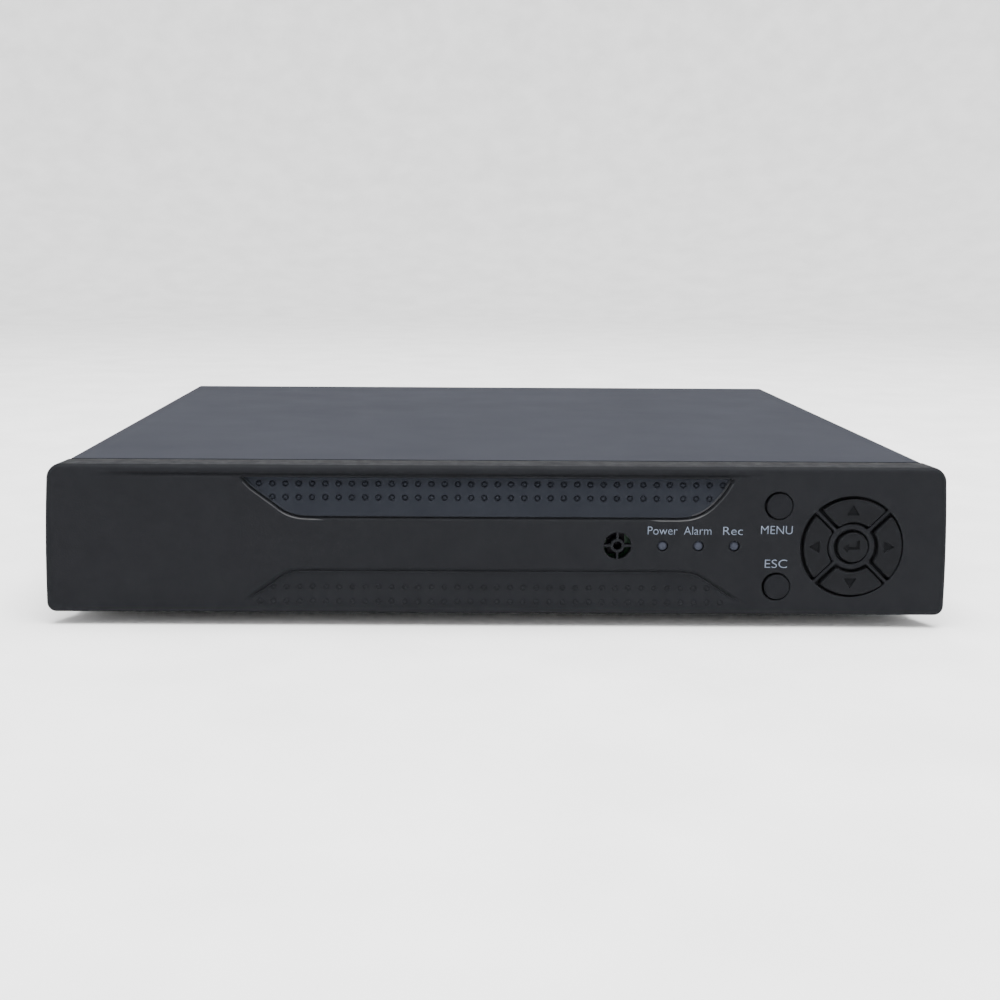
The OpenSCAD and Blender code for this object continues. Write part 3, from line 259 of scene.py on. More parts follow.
def make_materials():
    """One material for each slot of the record, and a few more for the visual front."""
    looks = {
        "bezel_plastic": (moulded, (0.0108, 0.0113, 0.0129),
                          dict(roughness=0.55, grain_mm=0.45, depth_mm=0.02, spread=0.05, IOR=1.09)),
        # painted light: lighter and bluer than the face, standing in for the light from above and the bluish
        # reflection that the strip's upward-leaning floor catches
        "strip_plastic": (moulded, (0.0138, 0.0154, 0.0198),
                          dict(roughness=0.45, grain_mm=0.45, depth_mm=0.012, spread=0.05, IOR=1.1)),
        # painted highlight: a lighter colour on the strip's edges stands in for the light they catch
        "rubbed_plastic": (moulded, (0.0165, 0.0173, 0.0196),
                           dict(roughness=0.4, grain_mm=0.45, depth_mm=0.01, spread=0.25, IOR=1.3)),
        "key_plastic": (moulded, (0.0102, 0.0106, 0.0118),
                        dict(roughness=0.5, grain_mm=0.4, depth_mm=0.012, spread=0.05, IOR=1.06)),
        "round_key_plastic": (moulded, (0.0108, 0.0112, 0.0128),
                              dict(roughness=0.52, grain_mm=0.4, depth_mm=0.02, spread=0.05, IOR=1.06)),
        # painted shade: darker than the keys, standing in for the shade inside their sunk marks
        "mark_shade": (moulded, (0.0074, 0.0077, 0.0086),
                       dict(roughness=0.55, grain_mm=0.4, depth_mm=0.012, spread=0.05, IOR=1.05)),
        "cover_paint": (painted, (0.0262, 0.0276, 0.034), dict(roughness=0.55, IOR=1.03)),
        "tray_steel": (painted, (0.0215, 0.0225, 0.0265), dict(roughness=0.5, IOR=1.16)),
        "screw_black": (metal, (0.05, 0.05, 0.055), dict(roughness=0.38)),
        "rubber": (moulded, (0.016, 0.016, 0.016), dict(roughness=0.75, grain_mm=1.2, depth_mm=0.05)),
        "light_lens": (moulded, (0.032, 0.0352, 0.047),
                       dict(roughness=0.6, grain_mm=2.0, depth_mm=0.004, spread=0.1, IOR=1.08)),
        "dark_window": (moulded, (0.004, 0.003, 0.005),
                        dict(roughness=0.3, grain_mm=2.0, depth_mm=0.004, IOR=1.12)),
        "board_green": (circuit_board, (0.01, 0.07, 0.025), dict()),
        "switch_metal": (metal, (0.6, 0.6, 0.62), dict(roughness=0.3)),
        "switch_stem": (moulded, (0.02, 0.02, 0.02), dict(roughness=0.5)),
        "screw_steel": (metal, (0.56, 0.56, 0.58), dict(roughness=0.28)),
        "lead_white": (moulded, (0.62, 0.6, 0.54), dict(roughness=0.5, grain_mm=1.5, depth_mm=0.01)),
        "brass": (metal, (0.72, 0.5, 0.2), dict(roughness=0.3)),
        "chip_black": (moulded, (0.02, 0.02, 0.022), dict(roughness=0.55, grain_mm=0.5, depth_mm=0.02)),
        "black_aluminium": (metal, (0.05, 0.05, 0.055), dict(roughness=0.42)),
        "part_grey": (moulded, (0.05, 0.06, 0.1), dict(roughness=0.35)),
        "connector_black": (moulded, (0.014, 0.014, 0.016),
                            dict(roughness=0.45, grain_mm=0.6, depth_mm=0.015)),
        "bright_metal": (metal, (0.68, 0.69, 0.7), dict(roughness=0.26, brushed=(6, 1, 1))),
        "nickel": (metal, (0.66, 0.64, 0.6), dict(roughness=0.2)),
        "insulator_white": (moulded, (0.75, 0.73, 0.66), dict(roughness=0.45, grain_mm=1.0, depth_mm=0.006)),
        "gold": (metal, (0.85, 0.6, 0.22), dict(roughness=0.24)),
        "vga_blue": (moulded, (0.012, 0.045, 0.3), dict(roughness=0.42, grain_mm=0.8, depth_mm=0.01)),
        "cast_aluminium": (metal, (0.5, 0.51, 0.53), dict(roughness=0.4)),
        "cable_red": (moulded, (0.45, 0.02, 0.015), dict(roughness=0.45, grain_mm=1.0, depth_mm=0.01)),
        "cable_black": (moulded, (0.018, 0.018, 0.018), dict(roughness=0.5, grain_mm=1.0, depth_mm=0.01)),
        "fan_plastic": (moulded, (0.02, 0.02, 0.021), dict(roughness=0.42, grain_mm=0.8, depth_mm=0.01)),
    }
    return {name: make(name, colour, **rest) for name, (make, colour, rest) in looks.items()}


MATERIALS = make_materials()
LEGEND = moulded("legend_ink", (0.105, 0.13, 0.175), 0.6, 0.5, 0.004, 0.06)


def dress_cad_nodes():
    """Gives each CAD node the material of its slot in the record."""
    for part in frame["record"]["subparts"]:
        node = NODES[part["node"]]
        for place in node.material_slots:
            place.material = MATERIALS[part["material_slot"]]


# ------------------------------------------------------------------ outlines, in case millimetres

def circle(x, z, r, steps=48):
    return [(x + r * math.cos(2 * math.pi * i / steps), z + r * math.sin(2 * math.pi * i / steps))
            for i in range(steps)]


def arc(x, z, r, start, end, steps):
    """Points on an arc between two angles in degrees, both ends included."""
    angles = np.radians(np.linspace(start, end, steps + 1))
    return [(x + r * math.cos(a), z + r * math.sin(a)) for a in angles]


def rounded(points, r, steps=6):
    """The outline with each corner rounded; a radius may be a list, one for each corner."""
    result = []
    count = len(points)
    for i in range(count):
        a, b, c = (np.array(points[(i + k) % count], float) for k in (-1, 0, 1))
        u, v = (a - b) / np.linalg.norm(a - b), (c - b) / np.linalg.norm(c - b)
        half = math.acos(np.clip(u @ v, -1, 1)) / 2
        radius = r[i] if isinstance(r, (list, tuple)) else r
        middle = (u + v) / np.linalg.norm(u + v)
        centre = b + middle * radius / math.sin(half)
        first = b + u * radius / math.tan(half) - centre
        turn = math.pi - 2 * half
        if u[0] * v[1] - u[1] * v[0] > 0:
            turn = -turn
        for k in range(steps + 1):
            t = turn * k / steps
            result.append((centre[0] + first[0] * math.cos(t) - first[1] * math.sin(t),
                           centre[1] + first[0] * math.sin(t) + first[1] * math.cos(t)))
    return result


def normals_of(points):
    """Outward normals of a closed outline that runs anticlockwise."""
    p = np.array(points, float)
    d = np.roll(p, -1, 0) - np.roll(p, 1, 0)
    n = np.stack([d[:, 1], -d[:, 0]], 1)
    return n / np.linalg.norm(n, axis=1)[:, None]


def anticlockwise(points):
    p = np.array(points, float)
    area = (p[:, 0] * np.roll(p[:, 1], -1) - np.roll(p[:, 0], -1) * p[:, 1]).sum()
    return points if area > 0 else points[::-1]


def grown(points, d):
    """The outline moved outwards by d."""
    points = anticlockwise(points)
    return [tuple(q) for q in np.array(points, float) + normals_of(points) * d]


def spread_out(points, step):
    """The closed outline with points added so that none are further apart than step."""
    result = []
    for a, b in zip(points, points[1:] + points[:1]):
        count = max(1, math.ceil(math.dist(a, b) / step))
        result += [(a[0] + (b[0] - a[0]) * k / count, a[1] + (b[1] - a[1]) * k / count) for k in range(count)]
    return result


def distance_to(points, outline):
    """Signed distance from each point to a closed outline, negative inside."""
    p = np.asarray(points, float)
    a = np.array(outline, float)
    b = np.roll(a, -1, 0)
    best = np.full(len(p), 1e9)
    inside = np.zeros(len(p), bool)
    for (ax, az), (bx, bz) in zip(a, b):
        ex, ez = bx - ax, bz - az
        t = np.clip(((p[:, 0] - ax) * ex + (p[:, 1] - az) * ez) / (ex * ex + ez * ez + 1e-12), 0, 1)
        best = np.minimum(best, np.hypot(p[:, 0] - ax - t * ex, p[:, 1] - az - t * ez))
        if az != bz:
            crosses = ((az > p[:, 1]) != (bz > p[:, 1])) & (p[:, 0] < ex * (p[:, 1] - az) / ez + ax)
            inside ^= crosses
    return np.where(inside, -best, best)


def smooth(t):
    t = np.clip(t, 0, 1)
    return t * t * (3 - 2 * t)


def sector(inner, outer, half_gap, angle, corner=0.5):
    """The outline of one arrow key or its opening, turned by angle from pointing up."""
    lean = lambda r: math.degrees(math.asin(half_gap / r))
    start, end = 45 + lean(outer), 135 - lean(outer)
    in_start, in_end = 45 + lean(inner), 135 - lean(inner)
    points = arc(0, 0, outer, start, end, 30)[1:-1] + arc(0, 0, inner, in_end, in_start, 14)[1:-1]
    corners = [(outer * math.cos(math.radians(a)), outer * math.sin(math.radians(a))) for a in (start, end)]
    inner_corners = [(inner * math.cos(math.radians(a)), inner * math.sin(math.radians(a)))
                     for a in (in_end, in_start)]
    ring = [corners[0]] + points[:29] + [corners[1], inner_corners[0]] + points[29:] + [inner_corners[1]]
    soft = rounded_where(ring, {0, 30, 31, len(ring) - 1}, corner)
    turn = math.radians(angle)
    return [(PAD[0] + x * math.cos(turn) - z * math.sin(turn),
             PAD[1] + x * math.sin(turn) + z * math.cos(turn)) for x, z in soft]


def rounded_where(points, corners, cut, steps=4):
    """Rounds only the numbered corners of an outline, by a curve that starts cut before each corner."""
    result = []
    for i, b in enumerate(points):
        if i not in corners:
            result.append(b)
            continue
        a, c = np.array(points[i - 1]), np.array(points[(i + 1) % len(points)])
        b = np.array(b)
        start = b + (a - b) * min(0.9, cut / np.linalg.norm(a - b))
        end = b + (c - b) * min(0.9, cut / np.linalg.norm(c - b))
        for k in range(steps + 1):
            t = k / steps
            result.append(tuple((1 - t) ** 2 * start + 2 * t * (1 - t) * b + t * t * end))
    return result


# ------------------------------------------------------------------ meshes

SMOOTH_ANGLE = 35


def new_object(name, verts, faces, material):
    """A mesh object from points in metres, with normals that keep flat faces flat."""
    mesh = bpy.data.meshes.new(name)
    mesh.from_pydata([tuple(v) for v in verts], [], faces)
    mesh.materials.append(material)
    obj = bpy.data.objects.new(name, mesh)
    bpy.context.scene.collection.objects.link(obj)
    settle(obj)
    return obj


def settle(obj):
    """Welds doubles, points the normals outwards and smooths all but the sharp edges."""
    mesh = obj.data
    bm = bmesh.new()
    bm.from_mesh(mesh)
    bmesh.ops.remove_doubles(bm, verts=bm.verts, dist=1e-7)
    bmesh.ops.dissolve_degenerate(bm, edges=bm.edges, dist=1e-8)
    bmesh.ops.recalc_face_normals(bm, faces=bm.faces)
    limit = math.radians(SMOOTH_ANGLE)
    for face in bm.faces:
        face.smooth = True
    for edge in bm.edges:
        edge.smooth = len(edge.link_faces) == 2 and edge.calc_face_angle(0) < limit
    bm.to_mesh(mesh)
    bm.free()


def apply_modifiers(obj):
    """Replaces the object's mesh with what its modifiers make of it."""
    graph = bpy.context.evaluated_depsgraph_get()
    mesh = bpy.data.meshes.new_from_object(obj.evaluated_get(graph), preserve_all_data_layers=True,
                                           depsgraph=graph)
    obj.modifiers.clear()
    obj.data = mesh


def shade_faces(obj, test, material):
    """Gives the faces whose middle passes the test another material."""
    mesh = obj.data
    mesh.materials.append(material)
    middles = np.empty(3 * len(mesh.polygons))
    mesh.polygons.foreach_get("center", middles)
    middles = middles.reshape(-1, 3)
    chosen = test((middles - np.array(to_row(0, 0, 0))) / MM)
    numbers = np.empty(len(mesh.polygons), np.int32)
    mesh.polygons.foreach_get("material_index", numbers)
    numbers[chosen] = len(mesh.materials) - 1
    mesh.polygons.foreach_set("material_index", numbers)


def weight_normals(obj):
    modifier = obj.modifiers.new("flat_faces", "WEIGHTED_NORMAL")
    modifier.keep_sharp = True
    apply_modifiers(obj)


def cut(obj, cutter):
    """Cuts one closed mesh out of another and throws the cutter away."""
    modifier = obj.modifiers.new("cut", "BOOLEAN")
    modifier.operation = "DIFFERENCE"
    modifier.solver = "EXACT"
    modifier.object = cutter
    apply_modifiers(obj)
    bpy.data.objects.remove(cutter)


def join(parts, name):
    """Joins several mesh objects into the first one."""
    main = parts[0]
    bm = bmesh.new()
    for part in parts:
        bm.from_mesh(part.data)
    bm.to_mesh(main.data)  # faces keep their material numbers, so the first part's materials are used
    bm.free()
    for part in parts[1:]:
        bpy.data.objects.remove(part)
    main.name = name
    return main


def prism_data(outline, y0, y1):
    """Points and faces of an outline extruded from y0 to y1, in case millimetres."""
    outline = anticlockwise(outline)
    n = len(outline)
    verts = [to_row(x, y, z) for y in (y0, y1) for x, z in outline]
    faces = [tuple(range(n)), tuple(range(2 * n - 1, n - 1, -1))]
    faces += [(i, n + i, n + (i + 1) % n, (i + 1) % n) for i in range(n)]
    return verts, faces


def prisms(name, outlines, y0, y1, material):
    """Several extruded outlines in one object."""
    verts, faces = [], []
    for outline in outlines:
        v, f = prism_data(outline, y0, y1)
        faces += [tuple(i + len(verts) for i in face) for face in f]
        verts += v
    return new_object(name, verts, faces, material)


def relief_plate(name, outline, roll, depth, loops, back, material, back_roll=0.0, back_outline=None):
    """A closed solid whose front is a height field inside a rolled edge.

    outline is the silhouette, roll gives each point's edge radius, depth(points) the sunk relief,
    loops the closed lines along which the relief changes, and back the y of the flat rear face.
    back_outline, with as many points, is the silhouette at the back if it isn't the same.
    """
    outline = anticlockwise(outline)
    p, n = np.array(outline, float), normals_of(outline)
    radius = np.array([roll(v) for v in n])
    count = len(outline)
    border = p - n * radius[:, None]
    points = [tuple(q) for q in border]
    edges = [(i, (i + 1) % count) for i in range(count)]
    for loop in loops:
        first = len(points)
        points += [tuple(q) for q in loop]
        edges += [(first + i, first + (i + 1) % len(loop)) for i in range(len(loop))]
    flat, _, faces, sources, *_ = delaunay_2d_cdt([Vector(q) for q in points], edges, [], 1, 1e-5)
    flat = np.array([tuple(q) for q in flat])
    sunk = depth(flat)
    place_of = {source: i for i, group in enumerate(sources) for source in group}
    rim = [place_of[i] for i in range(count)]
    verts = [to_row(x, FACE_SINK + d, z) for (x, z), d in zip(flat, sunk)]
    faces = [tuple(reversed(f)) for f in faces]
    lines = [(radius * (1 - math.sin(t)), FACE_SINK + radius * (1 - math.cos(t)))
             for t in map(math.radians, range(15, 91, 15))]
    if back_roll:
        lines += [(np.zeros(count), np.full(count, back - back_roll))]
        lines += [(np.full(count, back_roll * (1 - math.cos(t))),
                   np.full(count, back - back_roll * (1 - math.sin(t))))
                  for t in map(math.radians, (45, 90))]
    else:
        lines += [(np.zeros(count), np.full(count, back))]
    previous = rim
    q = p if back_outline is None else np.array(back_outline, float)
    for inset, y in lines:
        first = len(verts)
        along = np.clip((y - TAPER_FROM) / (back - TAPER_FROM), 0, 1)[:, None]
        ring = p * (1 - along) + q * along - n * inset[:, None]
        verts += [to_row(x, yy, z) for (x, z), yy in zip(ring, y)]
        current = list(range(first, first + count))
        faces += [(previous[i], previous[(i + 1) % count], current[(i + 1) % count], current[i])
                  for i in range(count)]
        previous = current
    faces.append(tuple(reversed(previous)))
    return new_object(name, verts, faces, material)


# ------------------------------------------------------------------ front bezel

def bezel_outline(width, bottom_r, top_r, lean):
    """The silhouette of the bezel: sides that lean in towards the top, and four round corners."""
    half, h = width / 2, CASE_H
    corners = [(-half, 0), (half, 0), (half, h), (-half, h)]
    corner_steps = 12
    soft = rounded(corners, [bottom_r, bottom_r, top_r, top_r], corner_steps)
    counts = [130, 20, 130, 20]  # points along the bottom, the right, the top and the left
    outline = []
    for i, point in enumerate(soft):
        after = soft[(i + 1) % len(soft)]
        side, step = divmod(i, corner_steps + 1)
        count = counts[side] if step == corner_steps else 1
        outline += [(point[0] + (after[0] - point[0]) * k / count,
                     point[1] + (after[1] - point[1]) * k / count) for k in range(count)]

    def leaning(x, z):
        near_side = smooth((abs(x) - half + 12) / 12)
        return lean * (max(0.0, z - WIDEST_Z) / (h - WIDEST_Z)) ** 2 * near_side

    return [(x - math.copysign(1, x) * leaning(x, z), z) for x, z in outline]


def bezel_roll(normal):
    """Edge radius around the bezel: a broad roll along the top, a small one below."""
    up = max(0.0, normal[1])
    down = max(0.0, -normal[1])
    return SIDE_ROLL_R + (TOP_ROLL_R - SIDE_ROLL_R) * up ** 2 + (BOTTOM_ROLL_R - SIDE_ROLL_R) * down ** 2


def curve(points, steps=8):
    """A smooth open curve through the points (Catmull-Rom)."""
    p = [np.array(q, float) for q in [points[0]] + points + [points[-1]]]
    result = []
    for i in range(1, len(p) - 2):
        for k in range(steps):
            t = k / steps
            q = 0.5 * (2 * p[i] + (p[i + 1] - p[i - 1]) * t
                       + (2 * p[i - 1] - 5 * p[i] + 4 * p[i + 1] - p[i + 2]) * t ** 2
                       + (3 * p[i] - p[i - 1] - 3 * p[i + 1] + p[i + 2]) * t ** 3)
            result.append(tuple(q))
    return result + [tuple(points[-1])]


def upper_strip():
    """The upper strip: square along the brow, slanted at the left, swept up at the right."""
    low = STRIP_TOP - STRIP_H
    left, right = STRIP_X - STRIP_W / 2, STRIP_X + STRIP_W / 2
    left_end = [(-1.3, STRIP_H), (1.3, 9.1), (4.4, 6.7), (7.8, 4.2), (10.6, 2.1), (13.0, 0.9), (16.0, 0.2),
                (20.0, 0)]
    right_end = [(-16.5, 0), (-13.0, 0.35), (-9.8, 1.5), (-7.2, 3.3), (-5.0, 5.6), (-2.9, 8.3),
                 (-1.0, STRIP_H)]
    return anticlockwise(curve([(left + x, low + z) for x, z in left_end])
                         + curve([(right + x, low + z) for x, z in right_end]))


def lower_strip():
    """The lower strip: its ends slope down and run out along its lower edge."""
    left, right = STRIP_X - STRIP_W / 2, STRIP_X + STRIP_W / 2
    left_end = [(-1.5, 0), (0.2, 1.35), (2.0, 2.6), (6.8, 5.85), (9.5, 7.9), (12.0, 9.25), (14.6, 9.9),
                (18, LOW_STRIP_H)]
    right_end = [(-15.5, LOW_STRIP_H), (-12.0, 9.6), (-9.5, 8.55), (-7.1, 7.0), (-4.4, 5.2), (-1.3, 3.1),
                 (1.6, 1.4), (4.8, 0)]
    return anticlockwise(curve([(left + x, LOW_STRIP_Z + z) for x, z in left_end])
                         + curve([(right + x, LOW_STRIP_Z + z) for x, z in right_end]))


UPPER_STRIP = spread_out(upper_strip(), 6)
LOWER_STRIP = spread_out(lower_strip(), 6)


def dot_centres():
    """The middles of the dimples on both strips."""
    dots = []
    for row, count in zip(DOT_ROWS, DOT_COUNTS):
        dots += [(STRIP_X + (i - (count - 1) / 2) * DOT_PITCH, STRIP_TOP - row) for i in range(count)]
    for row, count in zip(LOW_DOT_ROWS, DOT_COUNTS):
        dots += [(STRIP_X + (i - (count - 1) / 2) * DOT_PITCH, LOW_STRIP_Z + row) for i in range(count)]
    return dots


DOTS = dot_centres()


def guard_outlines():
    """The centre hole and the four curved slots of the guard over the receiver."""
    outlines = [circle(*RECEIVER, GUARD_CENTRE_R, 32)]
    half = GUARD_SPOKE_W / 2
    for quarter in range(4):
        lean_out = math.degrees(math.asin(half / GUARD_R))
        lean_in = math.degrees(math.asin(half / GUARD_RING_R))
        turn = 90 * quarter
        outlines.append(arc(*RECEIVER, GUARD_R, turn + lean_out, turn + 90 - lean_out, 12)
                        + arc(*RECEIVER, GUARD_RING_R, turn + 90 - lean_in, turn + lean_in, 8))
    return outlines


def bezel_openings():
    """Every opening through the face."""
    outlines = [circle(*MENU, ROUND_KEY_R + KEY_GAP), circle(*ESC, ROUND_KEY_R + KEY_GAP),
                circle(*PAD, ENTER_R + KEY_GAP, 56)]
    outlines += [sector(RING_R, PAD_R, SPOKE_W / 2, a) for a in (0, 90, 180, 270)]
    outlines += [circle(*light, LIGHT_HOLE_R, 32) for light in LIGHTS]
    return outlines + guard_outlines()


OPENINGS = bezel_openings()


def edge_radius(outline):
    """Smaller openings have a tighter edge, so that thin bars keep some flat face."""
    p = np.array(outline)
    return 0.12 if np.ptp(p[:, 0]) < 4.5 else EDGE_R


def strip_profile(s, floor, size, groove_share):
    """Depth at s outside a strip's edge: the floor, a low rim, then a groove that slopes out to the face."""
    rim = RIM_SINK * size
    inside = rim + (floor - rim) * smooth(-s / RIM_W)
    inner = rim + (GROOVE_DEPTH * size - rim) * np.clip(s / GROOVE_MID, 0, 1)
    outer = GROOVE_DEPTH * size * (GROOVE_W - s) / (GROOVE_W - GROOVE_MID)
    groove = np.clip(np.minimum(inner, outer), 0, None) * groove_share
    return np.where(s < 0, np.maximum(inside, floor * (1 - groove_share)), groove)


def bezel_depth(points):
    """How far the face is sunk at each point."""
    x, z = points[:, 0], points[:, 1]
    sunk = np.zeros(len(points))
    upper_floor = RIM_SINK + STRIP_DEPTH * np.clip((z - STRIP_TOP + STRIP_H) / STRIP_H, 0, 1)
    below_brow = smooth((STRIP_TOP - z) / 0.6)
    run_out = smooth((z - LOW_STRIP_Z - 0.4) / 3)
    upper = strip_profile(distance_to(points, UPPER_STRIP), upper_floor, 1, below_brow)
    lower = strip_profile(distance_to(points, LOWER_STRIP), LOW_STRIP_DEPTH, 0.6, 1) * run_out
    sunk = np.maximum(np.maximum(sunk, upper), lower)
    fade = smooth((x - BROW_ENDS[0]) / 18) * smooth((BROW_ENDS[1] - x) / 12)
    sunk = np.maximum(sunk, BROW_DEPTH * np.exp(-((z - BROW_Z) / BROW_HALF) ** 2) * fade)
    dots = np.array(DOTS)
    near = np.full(len(points), 9.0)
    for start in range(0, len(dots), 35):
        group = dots[start:start + 35]
        near = np.minimum(near, np.hypot(x[:, None] - group[:, 0], z[:, None] - group[:, 1]).min(1))
    t = np.clip((near - DOT_DOME_R) / (DOT_R - DOT_DOME_R), 0, 1)
    share = np.where(z > CASE_H / 2, 1, LOW_DOT_DEPTH / DOT_DEPTH)
    sunk += share * (DOT_DEPTH * np.sin(np.pi * t) ** 1.2 - DOT_DOME * smooth(1 - near / DOT_DOME_R))
    sunk += PAD_SINK * smooth((PAD_R - np.hypot(x - PAD[0], z - PAD[1])) / 0.4)
    for outline in OPENINGS:
        r = edge_radius(outline)
        s = distance_to(points, outline)
        sunk += r * (1 - np.sqrt(np.clip(1 - np.clip(1 - s / r, 0, 1) ** 2, 0, 1)))
    return sunk


def bezel_loops():
    """Lines along which the face changes height."""
    loops = []
    for outline in (UPPER_STRIP, LOWER_STRIP):
        fine = spread_out(outline, 3)
        loops += [grown(fine, d) for d in (-RIM_W, -0.4, -0.25, -0.1, 0.0, GROOVE_MID / 2, GROOVE_MID, 0.6,
                                           0.85, GROOVE_W)]
    for d in (0.01, 0.2, 0.4, 0.7, 1.1):
        xs = np.linspace(BROW_ENDS[0] + 0.5 - d / 2, BROW_ENDS[1] - 0.5 + d / 2, 70)
        loops.append([(x, BROW_Z + d) for x in xs] + [(x, BROW_Z - d) for x in xs[::-1]])
    for dot in DOTS:
        loops += [circle(*dot, r, 18) for r in np.linspace(DOT_DOME_R, DOT_R, 7)] + [circle(*dot, 0.2, 8)]
    for outline in OPENINGS:
        r = edge_radius(outline)
        loops += [grown(outline, d) for d in (r, r * 0.55, r * 0.25, r * 0.05)]
    return loops


def in_upper_strip(middles):
    """True for the faces on the floor of the upper strip, which get painted light, in case millimetres."""
    return (distance_to(middles[:, [0, 2]], UPPER_STRIP) < -0.05) & (middles[:, 1] < BEZEL_WALL)


def on_strip_rim(middles):
    """True for the faces that get a painted highlight: the edges near the upper strip's ends, and the crest
    inside it at the right.
    """
    s = distance_to(middles[:, [0, 2]], UPPER_STRIP)
    x, y, z = middles.T
    near_ends = np.abs(x - HIGHLIGHT_MIDDLE_X) > HIGHLIGHT_BARE_HALF
    outer = (s > HIGHLIGHT_FROM) & (s < GROOVE_W) & (z < STRIP_TOP - 1.5) & near_ends
    crest = (s > -HIGHLIGHT_CREST_W) & (s < 0) & (x > CREST_FROM_X) & (z < STRIP_TOP - 0.3)
    return (outer | crest) & (y < BEZEL_WALL)


def make_bezel():
    plastic = MATERIALS["bezel_plastic"]
    front = bezel_outline(BEZEL_W, BOTTOM_CORNER_R, TOP_CORNER_R, SIDE_LEAN)
    seam = bezel_outline(SEAM_W, SEAM_CORNER_R, SEAM_CORNER_R, 0)
    bezel = relief_plate("bezel_shell", front, bezel_roll, bezel_depth, bezel_loops(),
                         BEZEL_D, plastic, BACK_ROLL_R, seam)
    # painted light on the upper strip's floor
    shade_faces(bezel, in_upper_strip, MATERIALS["strip_plastic"])
    # painted highlight on the strip's edges near its ends and on the crest at its right
    shade_faces(bezel, on_strip_rim, MATERIALS["rubbed_plastic"])
    inner = bezel_outline(SEAM_W - 2 * BEZEL_WALL, SEAM_CORNER_R, SEAM_CORNER_R, 0)
    inner = [(x, BEZEL_WALL + z * (CASE_H - 2 * BEZEL_WALL) / CASE_H) for x, z in inner]
    cut(bezel, prisms("cavity", [inner], BEZEL_WALL, BEZEL_D - 1.6, plastic))
    half = BEZEL_W / 2 - 11
    rear = rounded([(-half, 4), (half, 4), (half, CASE_H - 4), (-half, CASE_H - 4)], 2)
    cut(bezel, prisms("rear_opening", [rear], BEZEL_WALL + 1, BEZEL_D + 1, plastic))
    cut(bezel, prisms("openings", OPENINGS, -1, BEZEL_WALL + 1, plastic))
    settle(bezel)
    weight_normals(bezel)
    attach(bezel, "case")
    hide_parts("front_bezel")
    return bezel


# ------------------------------------------------------------------ keys

def arrow_mark(angle):
    """The triangle sunk into an arrow key."""
    turn = math.radians(angle)
    tip = [(-1.9, -1.4), (1.9, -1.4), (0, 1.8)]
    placed = [(x * math.cos(turn) - (z + KEY_REACH) * math.sin(turn),
               x * math.sin(turn) + (z + KEY_REACH) * math.cos(turn)) for x, z in tip]
    return rounded([(PAD[0] + x, PAD[1] + z) for x, z in placed], 0.2, 3)


def return_mark():
    """The bent arrow sunk into the enter key."""
    points = [(-2.6, -0.4), (-1, -1.8), (-1, -0.9), (2.4, -0.9), (2.4, 1.9), (1.4, 1.9), (1.4, 0.1),
              (-1, 0.1), (-1, 1)]
    return [(PAD[0] + x, PAD[1] + z) for x, z in points]


def make_key(name, body, outline, flange, stem_at, marks=(), material="key_plastic", lie=KEY_LIE):
    """One key: a softly rolled cap with its sunk mark, a retaining flange and a stem."""
    plastic = MATERIALS[material]

    def depth(points):
        middle = np.array(outline).mean(0)
        reach = np.ptp(np.array(outline), axis=0).max() / 2
        crown = 0.12 * np.clip(np.hypot(*(points - middle).T) / reach, 0, 1) ** 2
        for mark in marks:
            crown = crown + MARK_DEPTH * smooth(-distance_to(points, mark) / 0.15)
        return crown

    outline = [(x + lie[0], z + lie[1]) for x, z in outline]
    fine = spread_out(outline, 1.2)
    reach_in = np.ptp(np.array(outline), axis=0).min() / 2.2 - KEY_EDGE_R
    loops = [grown(fine, -KEY_EDGE_R - d) for d in (0.8, 1.8, 2.8) if d < reach_in]
    for mark in marks:
        fine_mark = spread_out(mark, 0.4)
        loops += [fine_mark, grown(fine_mark, -0.08), grown(fine_mark, -0.15)]
    cap = relief_plate(name, outline, lambda normal: KEY_EDGE_R, depth, loops, 2.5, plastic)
    # the floor of each sunk mark gets painted shade
    for mark in marks:
        on_mark = lambda middles: (distance_to(middles[:, [0, 2]], mark) < -0.02) & (middles[:, 1] < 1)
        shade_faces(cap, on_mark, MATERIALS["mark_shade"])
    flange_part = prisms(name + "_flange", [flange], 2.5, 3.3, plastic)
    stem = prisms(name + "_stem", [circle(*stem_at, 1.6, 32)], 3.3, 3.7, plastic)
    key = join([cap, flange_part, stem], name + "_cap")
    settle(key)
    weight_normals(key)
    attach(key, body)
    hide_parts(name)
    return key


def make_keys():
    for name, at in (("menu", MENU), ("esc", ESC)):
        make_key(name + "_button", name + "_key_body", circle(*at, ROUND_KEY_R + KEY_GAP - ROUND_CAP_GAP),
                 circle(*at, ROUND_KEY_R + 1.05), at, material="round_key_plastic", lie=ROUND_KEY_LIE)
    for name, angle in (("up", 0), ("left", 90), ("down", 180), ("right", 270)):
        turn = math.radians(angle)
        stem_at = (PAD[0] - KEY_REACH * math.sin(turn), PAD[1] + KEY_REACH * math.cos(turn))
        outline = sector(RING_R + CAP_GAP, PAD_R - CAP_GAP, SPOKE_W / 2 + CAP_GAP, angle, 0.8)
        flange = sector(RING_R - 0.55, PAD_R + 0.55, SPOKE_W / 2 - 0.4, angle)
        make_key(name + "_key", name + "_key_body", outline, flange, stem_at, [arrow_mark(angle)])
    make_key("enter_key", "enter_key_body", circle(*PAD, ENTER_R + KEY_GAP - CAP_GAP, 56),
             circle(*PAD, ENTER_R + 1.05, 56), PAD, [return_mark()])


